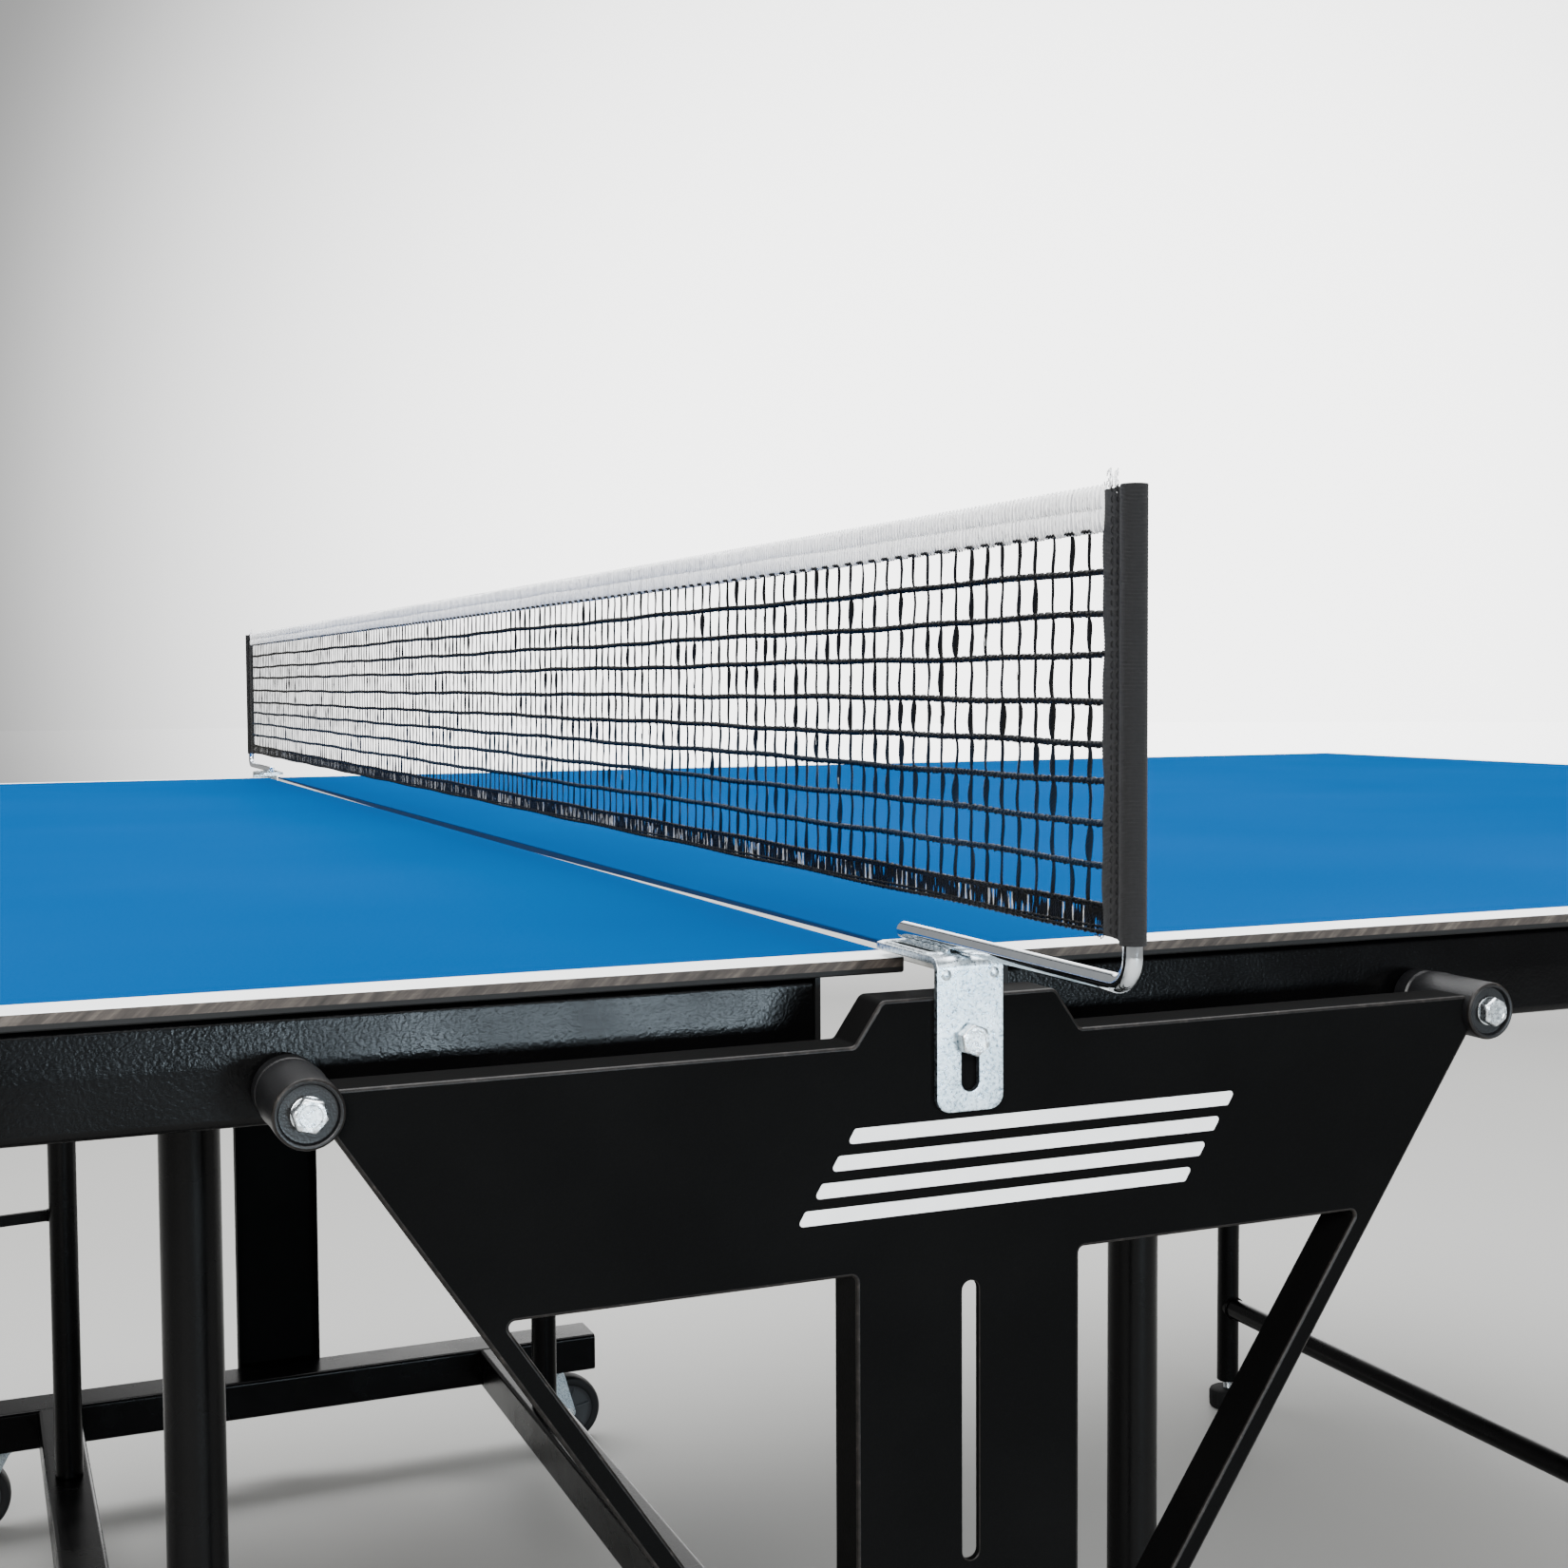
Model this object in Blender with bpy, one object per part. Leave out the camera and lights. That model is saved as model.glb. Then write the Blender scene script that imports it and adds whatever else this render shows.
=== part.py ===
"""Rollaway table tennis table: two hinged half tops on a wheeled frame, with a post net."""
import math

import bmesh
import bpy
from mathutils import Matrix, Vector

# ---------------------------------------------------------------- sizes (metres)
TOP_LENGTH = 2.740
TOP_WIDTH = 1.525
TOP_HEIGHT = 0.760
BOARD_T = 0.0055
HALF_GAP = 0.012
BOARD_CORNER_R = 0.004
FIT = 0.0003

RAIL_W = 0.025
RAIL_H = 0.0357
RAIL_WALL = 0.002
APRON_INSET = 0.0055
APRON_START = 0.0386
END_INSET = 0.008
CROSS_W = 0.030
NET_RAIL_H = 0.014
NET_RAIL_X = 0.100
PIVOT_RAIL_X = 0.2400
MID_RAIL_X = 0.640

PIVOT_X = 0.2207
PIVOT_Z = 0.7310
BOLT_R = 0.003
BOSS_R = 0.0109
BOSS_PROUD = 0.0035
BOSS_RECESS_R = 0.0088
HEX_AF = 0.010
HEX_H = 0.004

PLATE_OUT = 0.0375
PLATE_Y = TOP_WIDTH / 2 + PLATE_OUT
BOSS_FACE_Y = PLATE_Y + BOSS_PROUD
PLATE_T = 0.0025
PLATE_DEPTH = 0.018
PLATE_RAISED_Z = 0.7515
PLATE_CREST_Z = 0.7370
PLATE_RAISED_X = 0.0330
PLATE_RAMP_X = 0.0430
PLATE_CORNER_X = 0.2225
COLUMN_X = 0.0426
DIAG_SLOPE = 0.670
DIAG_REF_X = 0.2130
DIAG_REF_Z = 0.7220
WINDOW_TOP_Z = 0.6603
WINDOW_OUT_X = 0.1623
WINDOW_LOW_Z = 0.4815
SLIT_W = 0.0065
SLIT_TOP_Z = 0.6538
SLIT_LOW_Z = 0.5600
PLATE_LOW_Z = 0.0900

UPRIGHT_X = 0.228
UPRIGHT_Y = 0.545
TUBE_R = 0.0125
TUBE_WALL = 0.002
UPRIGHT_TOP = 0.700
BASE_LOW = 0.085
BASE_TOP = 0.125
FOOT_RAIL_LEN = 0.680
FOOT_RAIL_W = 0.050
BASE_WALL = 0.0025

LEG_X = 1.060
LEG_HINGE_Z = 0.7025
LEG_LOW_Z = 0.032
LEG_BAR_Z = 0.120
LEG_HEAD = 0.0085
HINGE_PIN_R = 0.004
CHEEK_T = 0.004
FOOT_R = 0.021
FOOT_H = 0.022
FOOT_STEM_R = 0.005

STRUT_PIVOT_Z = 0.365
STRUT_W = 0.010
STRUT_T = 0.006
STRUT_EYE_R = 0.009
STUD_R = 0.004
STUD_GAP = 0.001

CASTER_X = 0.290
CASTER_TRAIL = 0.022
WHEEL_R = 0.0375
WHEEL_W = 0.024
AXLE_R = 0.004
STEM_R = 0.006
STEM_GAP = 0.0001

POST_OUT = 0.1395
POST_Y = TOP_WIDTH / 2 + POST_OUT
NET_HEIGHT = 0.1525
ROD_R = 0.003
ROD_BEND = 0.009
TONGUE_LAP = 0.0105
ROD_IN_Y = TOP_WIDTH / 2 - TONGUE_LAP
BRACKET_W = 0.0252
BRACKET_T = 0.0025
BRACKET_LOW_Z = 0.7125
BRACKET_TOP_Z = 0.7650
BRACKET_BOLT_Z = 0.7370
NET_TRAVEL = 0.0144
SLOT_R = 0.0033
SLEEVE_LOW = 0.0205
SLEEVE_R = 0.00385
HEM_W = 0.0155
HEM_IN_Y = POST_Y - HEM_W
TAPE_H = 0.0132
BAND_H = 0.0090

SEG = 18


# ---------------------------------------------------------------- helpers
def clear_scene():
    for old in list(bpy.data.objects):
        bpy.data.objects.remove(old, do_unlink=True)


def material(name, colour, metallic, rough):
    mat = bpy.data.materials.new(name)
    mat.use_nodes = True
    bsdf = mat.node_tree.nodes["Principled BSDF"]
    bsdf.inputs["Base Color"].default_value = (colour[0], colour[1], colour[2], 1.0)
    bsdf.inputs["Metallic"].default_value = metallic
    bsdf.inputs["Roughness"].default_value = rough
    return mat


LOOKS = {
    "blue": ((0.004, 0.180, 0.480), 0.0, 0.45),
    "black": ((0.012, 0.012, 0.013), 0.0, 0.42),
    "plate": ((0.010, 0.010, 0.010), 0.0, 0.55),
    "zinc": ((0.620, 0.650, 0.680), 1.0, 0.35),
    "chrome": ((0.750, 0.760, 0.780), 1.0, 0.15),
    "rubber": ((0.020, 0.020, 0.020), 0.0, 0.85),
    "plastic": ((0.030, 0.030, 0.032), 0.0, 0.50),
    "white": ((0.850, 0.850, 0.840), 0.0, 0.70),
    "cord": ((0.015, 0.015, 0.015), 0.0, 0.60),
}


def new_object(name, bm, look):
    bmesh.ops.recalc_face_normals(bm, faces=bm.faces)
    mesh = bpy.data.meshes.new(name)
    bm.to_mesh(mesh)
    bm.free()
    obj = bpy.data.objects.new(name, mesh)
    bpy.context.scene.collection.objects.link(obj)
    if look is not None:
        colour, metallic, rough = LOOKS[look]
        mesh.materials.append(material("mat_" + name, colour, metallic, rough))
    return obj


def box(x0, x1, y0, y1, z0, z1, name="cut", look=None):
    bm = bmesh.new()
    bmesh.ops.create_cube(bm, size=1.0)
    scale = Vector((abs(x1 - x0), abs(y1 - y0), abs(z1 - z0)))
    centre = Vector(((x0 + x1) / 2, (y0 + y1) / 2, (z0 + z1) / 2))
    bmesh.ops.scale(bm, vec=scale, verts=bm.verts)
    bmesh.ops.translate(bm, vec=centre, verts=bm.verts)
    return new_object(name, bm, look)


AXIS_TURN = {
    "z": Matrix.Identity(4),
    "x": Matrix.Rotation(math.pi / 2, 4, "Y"),
    "y": Matrix.Rotation(math.pi / 2, 4, "X"),
}


def rod(axis, centre, radius, length, name="cut", look=None, seg=SEG):
    bm = bmesh.new()
    bmesh.ops.create_cone(
        bm, cap_ends=True, segments=seg, radius1=radius, radius2=radius, depth=length
    )
    turn = Matrix.Translation(Vector(centre)) @ AXIS_TURN[axis]
    bmesh.ops.transform(bm, matrix=turn, verts=bm.verts)
    return new_object(name, bm, look)


def prism(points, plane, lo, hi, name="cut", look=None):
    """Extrude a 2-D outline. plane "xz" runs along Y, "yz" along X and "xy" along Z."""
    bm = bmesh.new()
    rings = []
    for level in (lo, hi):
        ring = []
        for a, b in points:
            if plane == "xz":
                co = (a, level, b)
            elif plane == "yz":
                co = (level, a, b)
            else:
                co = (a, b, level)
            ring.append(bm.verts.new(co))
        rings.append(ring)
    bm.faces.new(rings[0])
    bm.faces.new(list(reversed(rings[1])))
    count = len(points)
    for i in range(count):
        j = (i + 1) % count
        bm.faces.new((rings[0][i], rings[1][i], rings[1][j], rings[0][j]))
    return new_object(name, bm, look)


def rounded(points, radii, steps=6):
    """Replace each corner of a 2-D outline with an arc of the given radius."""
    out = []
    count = len(points)
    for i in range(count):
        here = Vector(points[i])
        before = Vector(points[i - 1])
        after = Vector(points[(i + 1) % count])
        radius = radii[i]
        if radius <= 0.0:
            out.append((here.x, here.y))
            continue
        u = (before - here).normalized()
        v = (after - here).normalized()
        half = math.acos(max(-1.0, min(1.0, u.dot(v)))) / 2
        reach = radius / math.tan(half)
        centre = here + (u + v).normalized() * (radius / math.sin(half))
        start = here + u * reach - centre
        end = here + v * reach - centre
        a0 = math.atan2(start.y, start.x)
        sweep = math.atan2(end.y, end.x) - a0
        while sweep > math.pi:
            sweep -= 2 * math.pi
        while sweep < -math.pi:
            sweep += 2 * math.pi
        for k in range(steps + 1):
            a = a0 + sweep * k / steps
            out.append((centre.x + radius * math.cos(a), centre.y + radius * math.sin(a)))
    return out


def stadium(a0, a1, b, radius, steps=8):
    """Outline of a slot between two centres on a vertical line at b, in (x, z)."""
    out = []
    for k in range(steps + 1):
        t = math.pi * k / steps
        out.append((b + radius * math.cos(t), a1 + radius * math.sin(t)))
    for k in range(steps + 1):
        t = math.pi + math.pi * k / steps
        out.append((b + radius * math.cos(t), a0 + radius * math.sin(t)))
    return out


def hexagon(cx, cz, flats, turn=0.0):
    r = flats / math.sqrt(3.0)
    out = []
    for k in range(6):
        a = turn + math.pi / 3 * k
        out.append((cx + r * math.cos(a), cz + r * math.sin(a)))
    return out


def swept(path, radius, name="cut", look=None, seg=16):
    """Round bar along a path that stays in a plane of constant X."""
    bm = bmesh.new()
    rings = []
    count = len(path)
    for i in range(count):
        here = Vector(path[i])
        before = Vector(path[max(i - 1, 0)])
        after = Vector(path[min(i + 1, count - 1)])
        tangent = (after - before).normalized()
        side = Vector((1.0, 0.0, 0.0))
        normal = tangent.cross(side).normalized()
        ring = []
        for k in range(seg):
            a = 2 * math.pi * k / seg
            offset = side * (radius * math.cos(a)) + normal * (radius * math.sin(a))
            ring.append(bm.verts.new(here + offset))
        rings.append(ring)
    for i in range(count - 1):
        for k in range(seg):
            j = (k + 1) % seg
            bm.faces.new((rings[i][k], rings[i][j], rings[i + 1][j], rings[i + 1][k]))
    bm.faces.new(list(reversed(rings[0])))
    bm.faces.new(rings[-1])
    return new_object(name, bm, look)


def merge(target, others, operation):
    """Boolean each helper into the target, then take the helpers away."""
    for other in others:
        mod = target.modifiers.new("step", "BOOLEAN")
        mod.operation = operation
        mod.solver = "EXACT"
        mod.object = other
        bpy.context.view_layer.update()
        graph = bpy.context.evaluated_depsgraph_get()
        result = bpy.data.meshes.new_from_object(target.evaluated_get(graph))
        target.modifiers.clear()
        target.data = result
        bpy.data.objects.remove(other, do_unlink=True)
    return target


def join(target, *others):
    return merge(target, others, "UNION")


def cut(target, *others):
    return merge(target, others, "DIFFERENCE")


def set_origin(obj, point):
    shift = Vector(point)
    obj.data.transform(Matrix.Translation(-shift))
    obj.location = shift
    return obj


def dress(obj, name, look):
    obj.name = name
    obj.data.name = name
    colour, metallic, rough = LOOKS[look]
    obj.data.materials.clear()
    obj.data.materials.append(material("mat_" + name, colour, metallic, rough))
    for poly in obj.data.polygons:
        poly.material_index = 0
    return obj


# ---------------------------------------------------------------- half tops
def half_top(side, tag):
    x_in = HALF_GAP / 2
    x_out = TOP_LENGTH / 2
    y_half = TOP_WIDTH / 2
    corner = BOARD_CORNER_R
    outline = rounded(
        [
            (side * x_in, -y_half),
            (side * x_out, -y_half),
            (side * x_out, y_half),
            (side * x_in, y_half),
        ],
        [corner * 0.4, corner, corner, corner * 0.4],
    )
    board = prism(outline, "xy", TOP_HEIGHT - BOARD_T, TOP_HEIGHT)
    dress(board, "board_" + tag, "blue")
    set_origin(board, (side * PIVOT_X, 0.0, PIVOT_Z))
    return board


def rail_boxes(side, shrink):
    """The rails of one half frame as boxes, drawn in by the wall thickness when hollowed."""
    top = TOP_HEIGHT - BOARD_T - FIT
    low = top - RAIL_H
    y_out = TOP_WIDTH / 2 - APRON_INSET
    x_end = TOP_LENGTH / 2 - END_INSET
    s = shrink
    out = []
    start = APRON_START - (0.001 if s > 0 else 0.0)
    for y_side in (-1, 1):
        ya = y_side * (y_out - s)
        yb = y_side * (y_out - RAIL_W + s)
        stop = x_end - 0.0003 - s
        out.append((side * start, side * stop, min(ya, yb), max(ya, yb), low + s, top - s))
    reach = y_out - RAIL_W / 2
    cross = [
        (NET_RAIL_X, CROSS_W, NET_RAIL_H),
        (PIVOT_RAIL_X, CROSS_W, RAIL_H),
        (MID_RAIL_X, CROSS_W, RAIL_H),
        (LEG_X, CROSS_W, RAIL_H),
        (x_end - RAIL_W / 2, RAIL_W, RAIL_H),
    ]
    for centre, width, height in cross:
        xa = side * (centre - width / 2 + s)
        xb = side * (centre + width / 2 - s)
        z0 = top - height + 0.0003 + s
        z1 = top - 0.0003 - s
        out.append((xa, xb, -reach, reach, z0, z1))
    return out


def half_frame(side, tag):
    solids = [box(*b) for b in rail_boxes(side, 0.0)]
    frame = join(solids[0], *solids[1:])
    hollows = [box(*b) for b in rail_boxes(side, RAIL_WALL)]
    hollow = join(hollows[0], *hollows[1:])
    cut(frame, hollow)
    top = TOP_HEIGHT - BOARD_T - FIT
    low = top - RAIL_H
    cheek_low = LEG_HINGE_Z - 0.013
    for y_side in (-1, 1):
        for inner in (-1, 1):
            gap = inner * (TUBE_R + STUD_GAP)
            ya = y_side * UPRIGHT_Y + gap
            yb = ya + inner * CHEEK_T
            outline = rounded(
                [
                    (side * (LEG_X - 0.014), low + 0.001),
                    (side * (LEG_X + 0.014), low + 0.001),
                    (side * (LEG_X + 0.011), cheek_low),
                    (side * (LEG_X - 0.011), cheek_low),
                ],
                [0.0, 0.0, 0.008, 0.008],
            )
            cheek = prism(outline, "xz", min(ya, yb), max(ya, yb))
            centre = (side * LEG_X, (ya + yb) / 2, LEG_HINGE_Z)
            cut(cheek, rod("y", centre, HINGE_PIN_R + 0.00008, 0.02))
            join(frame, cheek)
    for y_side in (-1, 1):
        y_mid = y_side * (TOP_WIDTH / 2 - APRON_INSET - RAIL_W / 2)
        cut(frame, rod("y", (side * PIVOT_X, y_mid, PIVOT_Z), BOLT_R + 0.00008, 0.05))
    dress(frame, "half_frame_" + tag, "black")
    set_origin(frame, (side * PIVOT_X, 0.0, PIVOT_Z))
    for y_side, end in ((-1, "near"), (1, "far")):
        y_out = TOP_WIDTH / 2 - APRON_INSET
        y0 = y_side * y_out
        y1 = y_side * (y_out - RAIL_W)
        x0 = APRON_START - FIT
        lid = box(side * (x0 - 0.002), side * x0, min(y0, y1), max(y0, y1), low, top)
        g = RAIL_WALL + FIT
        a = y_side * (y_out - g)
        b = y_side * (y_out - RAIL_W + g)
        tongue = box(
            side * (x0 - 0.001), side * (x0 + 0.012), min(a, b), max(a, b), low + g, top - g
        )
        plug = join(lid, tongue)
        dress(plug, "rail_plug_" + tag + "_" + end, "plastic")
        set_origin(plug, (side * x0, y_side * (y_out - RAIL_W / 2), (low + top) / 2))
        length = 2 * (TUBE_R + STUD_GAP + CHEEK_T) + 0.003
        centre = (side * LEG_X, y_side * UPRIGHT_Y, LEG_HINGE_Z)
        pin = rod("y", centre, HINGE_PIN_R, length)
        for inner in (-1, 1):
            y_head = y_side * UPRIGHT_Y + inner * (length / 2 + 0.0003)
            join(pin, rod("y", (side * LEG_X, y_head, LEG_HINGE_Z), 0.0065, 0.0025))
        dress(pin, "hinge_pin_" + tag + "_" + end, "zinc")
        set_origin(pin, centre)
    return frame


# ---------------------------------------------------------------- legs, feet and struts
def leg_frame(side, tag):
    outer = None
    inner = None
    top = LEG_HINGE_Z + LEG_HEAD
    for y_side in (-1, 1):
        y = y_side * UPRIGHT_Y
        mid = (LEG_LOW_Z + top) / 2
        tube = rod("z", (side * LEG_X, y, mid), TUBE_R, top - LEG_LOW_Z)
        core_low = LEG_LOW_Z + 0.030
        core_mid = (core_low + top + 0.01) / 2
        core = rod("z", (side * LEG_X, y, core_mid), TUBE_R - TUBE_WALL, top + 0.01 - core_low)
        outer = tube if outer is None else join(outer, tube)
        inner = core if inner is None else join(inner, core)
    span = 2 * UPRIGHT_Y
    join(outer, rod("y", (side * LEG_X, 0.0, LEG_BAR_Z), TUBE_R - 0.001, span))
    join(inner, rod("y", (side * LEG_X, 0.0, LEG_BAR_Z), TUBE_R - 0.001 - TUBE_WALL, span))
    strut_z = LEG_HINGE_Z + (STRUT_PIVOT_Z - PIVOT_Z)
    stud_x = side * (LEG_X + UPRIGHT_X - PIVOT_X)
    for y_side in (-1, 1):
        y0 = y_side * (UPRIGHT_Y + TUBE_R - 0.004)
        y1 = y_side * (UPRIGHT_Y + FOOT_R + 2 * STUD_GAP + STRUT_T)
        join(outer, rod("y", (stud_x, (y0 + y1) / 2, strut_z), STUD_R, abs(y1 - y0)))
        y2 = y1 + y_side * 0.0025
        join(outer, rod("y", (stud_x, (y1 + y2) / 2, strut_z), 0.0075, abs(y2 - y1) + 0.0002))
    cut(outer, inner)
    for y_side in (-1, 1):
        y = y_side * UPRIGHT_Y
        cut(outer, rod("y", (side * LEG_X, y, LEG_HINGE_Z), HINGE_PIN_R + 0.00008, 0.04))
        cut(outer, rod("z", (side * LEG_X, y, LEG_LOW_Z + 0.01), FOOT_STEM_R + 0.00008, 0.06))
    dress(outer, "leg_frame_" + tag, "black")
    set_origin(outer, (side * LEG_X, 0.0, LEG_HINGE_Z))
    for y_side, end in ((-1, "near"), (1, "far")):
        x = side * LEG_X
        y = y_side * UPRIGHT_Y
        foot = rod("z", (x, y, FOOT_H / 2), FOOT_R, FOOT_H, seg=24)
        join(foot, rod("z", (x, y, 0.030), FOOT_STEM_R, 0.044))
        dress(foot, "leg_foot_" + tag + "_" + end, "rubber")
        set_origin(foot, (x, y, 0.0))


def link_strut(side, tag, y_side, end):
    ax = side * UPRIGHT_X
    az = STRUT_PIVOT_Z
    bx = side * (LEG_X + UPRIGHT_X - PIVOT_X)
    bz = LEG_HINGE_Z + STRUT_PIVOT_Z - PIVOT_Z
    y0 = y_side * (UPRIGHT_Y + FOOT_R + STUD_GAP)
    y1 = y0 + y_side * STRUT_T
    lo = min(y0, y1)
    hi = max(y0, y1)
    along = Vector((bx - ax, bz - az)).normalized()
    across = Vector((-along.y, along.x)) * (STRUT_W / 2)
    a = Vector((ax, az))
    b = Vector((bx, bz))
    corners = [a + across, b + across, b - across, a - across]
    bar = prism([(p.x, p.y) for p in corners], "xz", lo, hi)
    for eye in (a, b):
        join(bar, rod("y", (eye.x, (lo + hi) / 2, eye.y), STRUT_EYE_R, STRUT_T))
    for eye in (a, b):
        cut(bar, rod("y", (eye.x, (lo + hi) / 2, eye.y), STUD_R + 0.00008, STRUT_T * 3))
    dress(bar, "link_strut_" + tag + "_" + end, "black")
    set_origin(bar, (ax, (lo + hi) / 2, az))


# ---------------------------------------------------------------- wheeled frame
def upright(side, tag, y_side, end):
    x = side * UPRIGHT_X
    y = y_side * UPRIGHT_Y
    low = BASE_TOP + FIT
    mid = (low + UPRIGHT_TOP) / 2
    tube = rod("z", (x, y, mid), TUBE_R, UPRIGHT_TOP - low)
    y0 = y_side * (UPRIGHT_Y + TUBE_R - 0.004)
    y1 = y_side * (UPRIGHT_Y + FOOT_R + 2 * STUD_GAP + STRUT_T)
    join(tube, rod("y", (x, (y0 + y1) / 2, STRUT_PIVOT_Z), STUD_R, abs(y1 - y0)))
    y2 = y1 + y_side * 0.0025
    join(tube, rod("y", (x, (y1 + y2) / 2, STRUT_PIVOT_Z), 0.0075, abs(y2 - y1) + 0.0002))
    cut(tube, rod("z", (x, y, mid), TUBE_R - TUBE_WALL, UPRIGHT_TOP))
    dress(tube, "upright_" + tag + "_" + end, "black")
    set_origin(tube, (x, y, low))
    rail_low = TOP_HEIGHT - BOARD_T - FIT - RAIL_H
    z0 = UPRIGHT_TOP + FIT
    z1 = rail_low - FIT
    pad = rod("z", (x, y, (z0 + z1) / 2), TUBE_R, z1 - z0)
    join(pad, rod("z", (x, y, z0 - 0.006), TUBE_R - TUBE_WALL - FIT, 0.014))
    dress(pad, "rest_pad_" + tag + "_" + end, "rubber")
    set_origin(pad, (x, y, z0))


def base_rails():
    y_out = PLATE_Y - PLATE_DEPTH - FIT
    y_in = y_out - FOOT_RAIL_W
    w = BASE_WALL
    for y_side, end in ((-1, "near"), (1, "far")):
        half = FOOT_RAIL_LEN / 2
        ya = min(y_side * y_out, y_side * y_in)
        yb = max(y_side * y_out, y_side * y_in)
        rail = box(-half, half, ya, yb, BASE_LOW, BASE_TOP)
        cut(rail, box(-half - 0.01, half + 0.01, ya + w, yb - w, BASE_LOW + w, BASE_TOP - w))
        for side in (-1, 1):
            y = (ya + yb) / 2
            cut(rail, rod("z", (side * CASTER_X, y, BASE_LOW), STEM_R + STEM_GAP, 0.02, seg=24))
        dress(rail, "foot_rail_" + end, "black")
        set_origin(rail, (0.0, (ya + yb) / 2, BASE_LOW))
    for side, tag in ((-1, "left"), (1, "right")):
        reach = y_in - FIT
        x0 = side * UPRIGHT_X - 0.020
        x1 = side * UPRIGHT_X + 0.020
        rail = box(x0, x1, -reach, reach, BASE_LOW, BASE_TOP)
        cut(rail, box(x0 + w, x1 - w, -reach - 0.01, reach + 0.01, BASE_LOW + w, BASE_TOP - w))
        dress(rail, "cross_rail_" + tag, "black")
        set_origin(rail, (side * UPRIGHT_X, 0.0, BASE_LOW))


def caster(side, tag, y_side, end):
    x = side * CASTER_X
    y = y_side * (PLATE_Y - PLATE_DEPTH - FIT - FOOT_RAIL_W / 2)
    ax = x + side * CASTER_TRAIL
    half = WHEEL_W / 2
    cheek = half + 0.001
    top = BASE_LOW - 0.001
    fork = rod("z", (x, y, top - 0.002), 0.020, 0.004)
    join(fork, rod("z", (x, y, top + 0.006), STEM_R, 0.014, seg=24))
    for edge in (-1, 1):
        ya = y + edge * cheek
        yb = y + edge * (cheek + 0.003)
        outline = rounded(
            [
                (x - side * 0.014, top - 0.001),
                (x + side * 0.016, top - 0.001),
                (ax + side * 0.008, WHEEL_R - 0.008),
                (ax - side * 0.008, WHEEL_R - 0.008),
            ],
            [0.0, 0.0, 0.006, 0.006],
        )
        join(fork, prism(outline, "xz", min(ya, yb), max(ya, yb)))
    join(fork, box(x - 0.014, x + 0.014, y - cheek - 0.003, y + cheek + 0.003, top - 0.004, top - 0.0005))
    join(fork, rod("y", (ax, y, WHEEL_R), AXLE_R, 2 * cheek + 0.010))
    dress(fork, "caster_fork_" + tag + "_" + end, "zinc")
    set_origin(fork, (x, y, top))
    outline = rounded(
        [(-half, 0.0), (-half, WHEEL_R), (half, WHEEL_R), (half, 0.0)],
        [0.0, 0.004, 0.004, 0.0],
        steps=3,
    )
    bm = bmesh.new()
    rings = []
    for k in range(28):
        a = 2 * math.pi * k / 28
        ring = []
        for w, r in outline[1:-1]:
            ring.append(bm.verts.new((ax + r * math.cos(a), y + w, WHEEL_R + r * math.sin(a))))
        rings.append(ring)
    for k in range(28):
        nxt = rings[(k + 1) % 28]
        for i in range(len(rings[k]) - 1):
            bm.faces.new((rings[k][i], rings[k][i + 1], nxt[i + 1], nxt[i]))
    bm.faces.new([ring[0] for ring in rings])
    bm.faces.new([ring[-1] for ring in reversed(rings)])
    wheel = new_object("wheel", bm, None)
    for edge in (-1, 1):
        y_face = y + edge * half
        dish = rod("y", (ax, y_face, WHEEL_R), WHEEL_R * 0.70, 0.010, seg=24)
        cut(dish, rod("y", (ax, y_face, WHEEL_R), 0.010, 0.02, seg=16))
        cut(wheel, dish)
    cut(wheel, rod("y", (ax, y, WHEEL_R), AXLE_R + 0.00008, WHEEL_W * 2))
    dress(wheel, "caster_wheel_" + tag + "_" + end, "rubber")
    set_origin(wheel, (ax, y, WHEEL_R))


def mirror_x(points):
    """Close a right-hand outline into a whole one about X = 0."""
    left = [(-x, z) for x, z in reversed(points)]
    return points + left


def plate_outline(inset):
    diag_low = DIAG_REF_Z + (COLUMN_X - DIAG_REF_X) / DIAG_SLOPE
    norm = math.sqrt(1.0 + DIAG_SLOPE * DIAG_SLOPE)
    ramp = 0.55 * inset
    shift = inset * norm
    right = [
        (PLATE_RAISED_X - ramp, PLATE_RAISED_Z - inset),
        (PLATE_RAMP_X - ramp, PLATE_CREST_Z - inset),
        (PLATE_CORNER_X - shift - inset * DIAG_SLOPE, PLATE_CREST_Z - inset),
        (COLUMN_X - inset, diag_low - inset / DIAG_SLOPE * norm + inset / DIAG_SLOPE),
        (COLUMN_X - inset, PLATE_LOW_Z + inset),
    ]
    radii = [0.003, 0.002, 0.001, 0.010, 0.006]
    return rounded(mirror_x(right), radii + list(reversed(radii)), steps=4)


def window_outline(side, grow):
    norm = math.sqrt(1.0 + DIAG_SLOPE * DIAG_SLOPE)
    x_in = COLUMN_X - grow
    top = WINDOW_TOP_Z + grow
    x_out = WINDOW_OUT_X + grow * norm + grow * DIAG_SLOPE
    z_low = WINDOW_LOW_Z - grow * norm / DIAG_SLOPE - grow / DIAG_SLOPE
    points = [(side * x_in, top), (side * x_out, top), (side * x_in, z_low)]
    return rounded(points, [0.002, 0.003, 0.004], steps=3)


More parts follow.
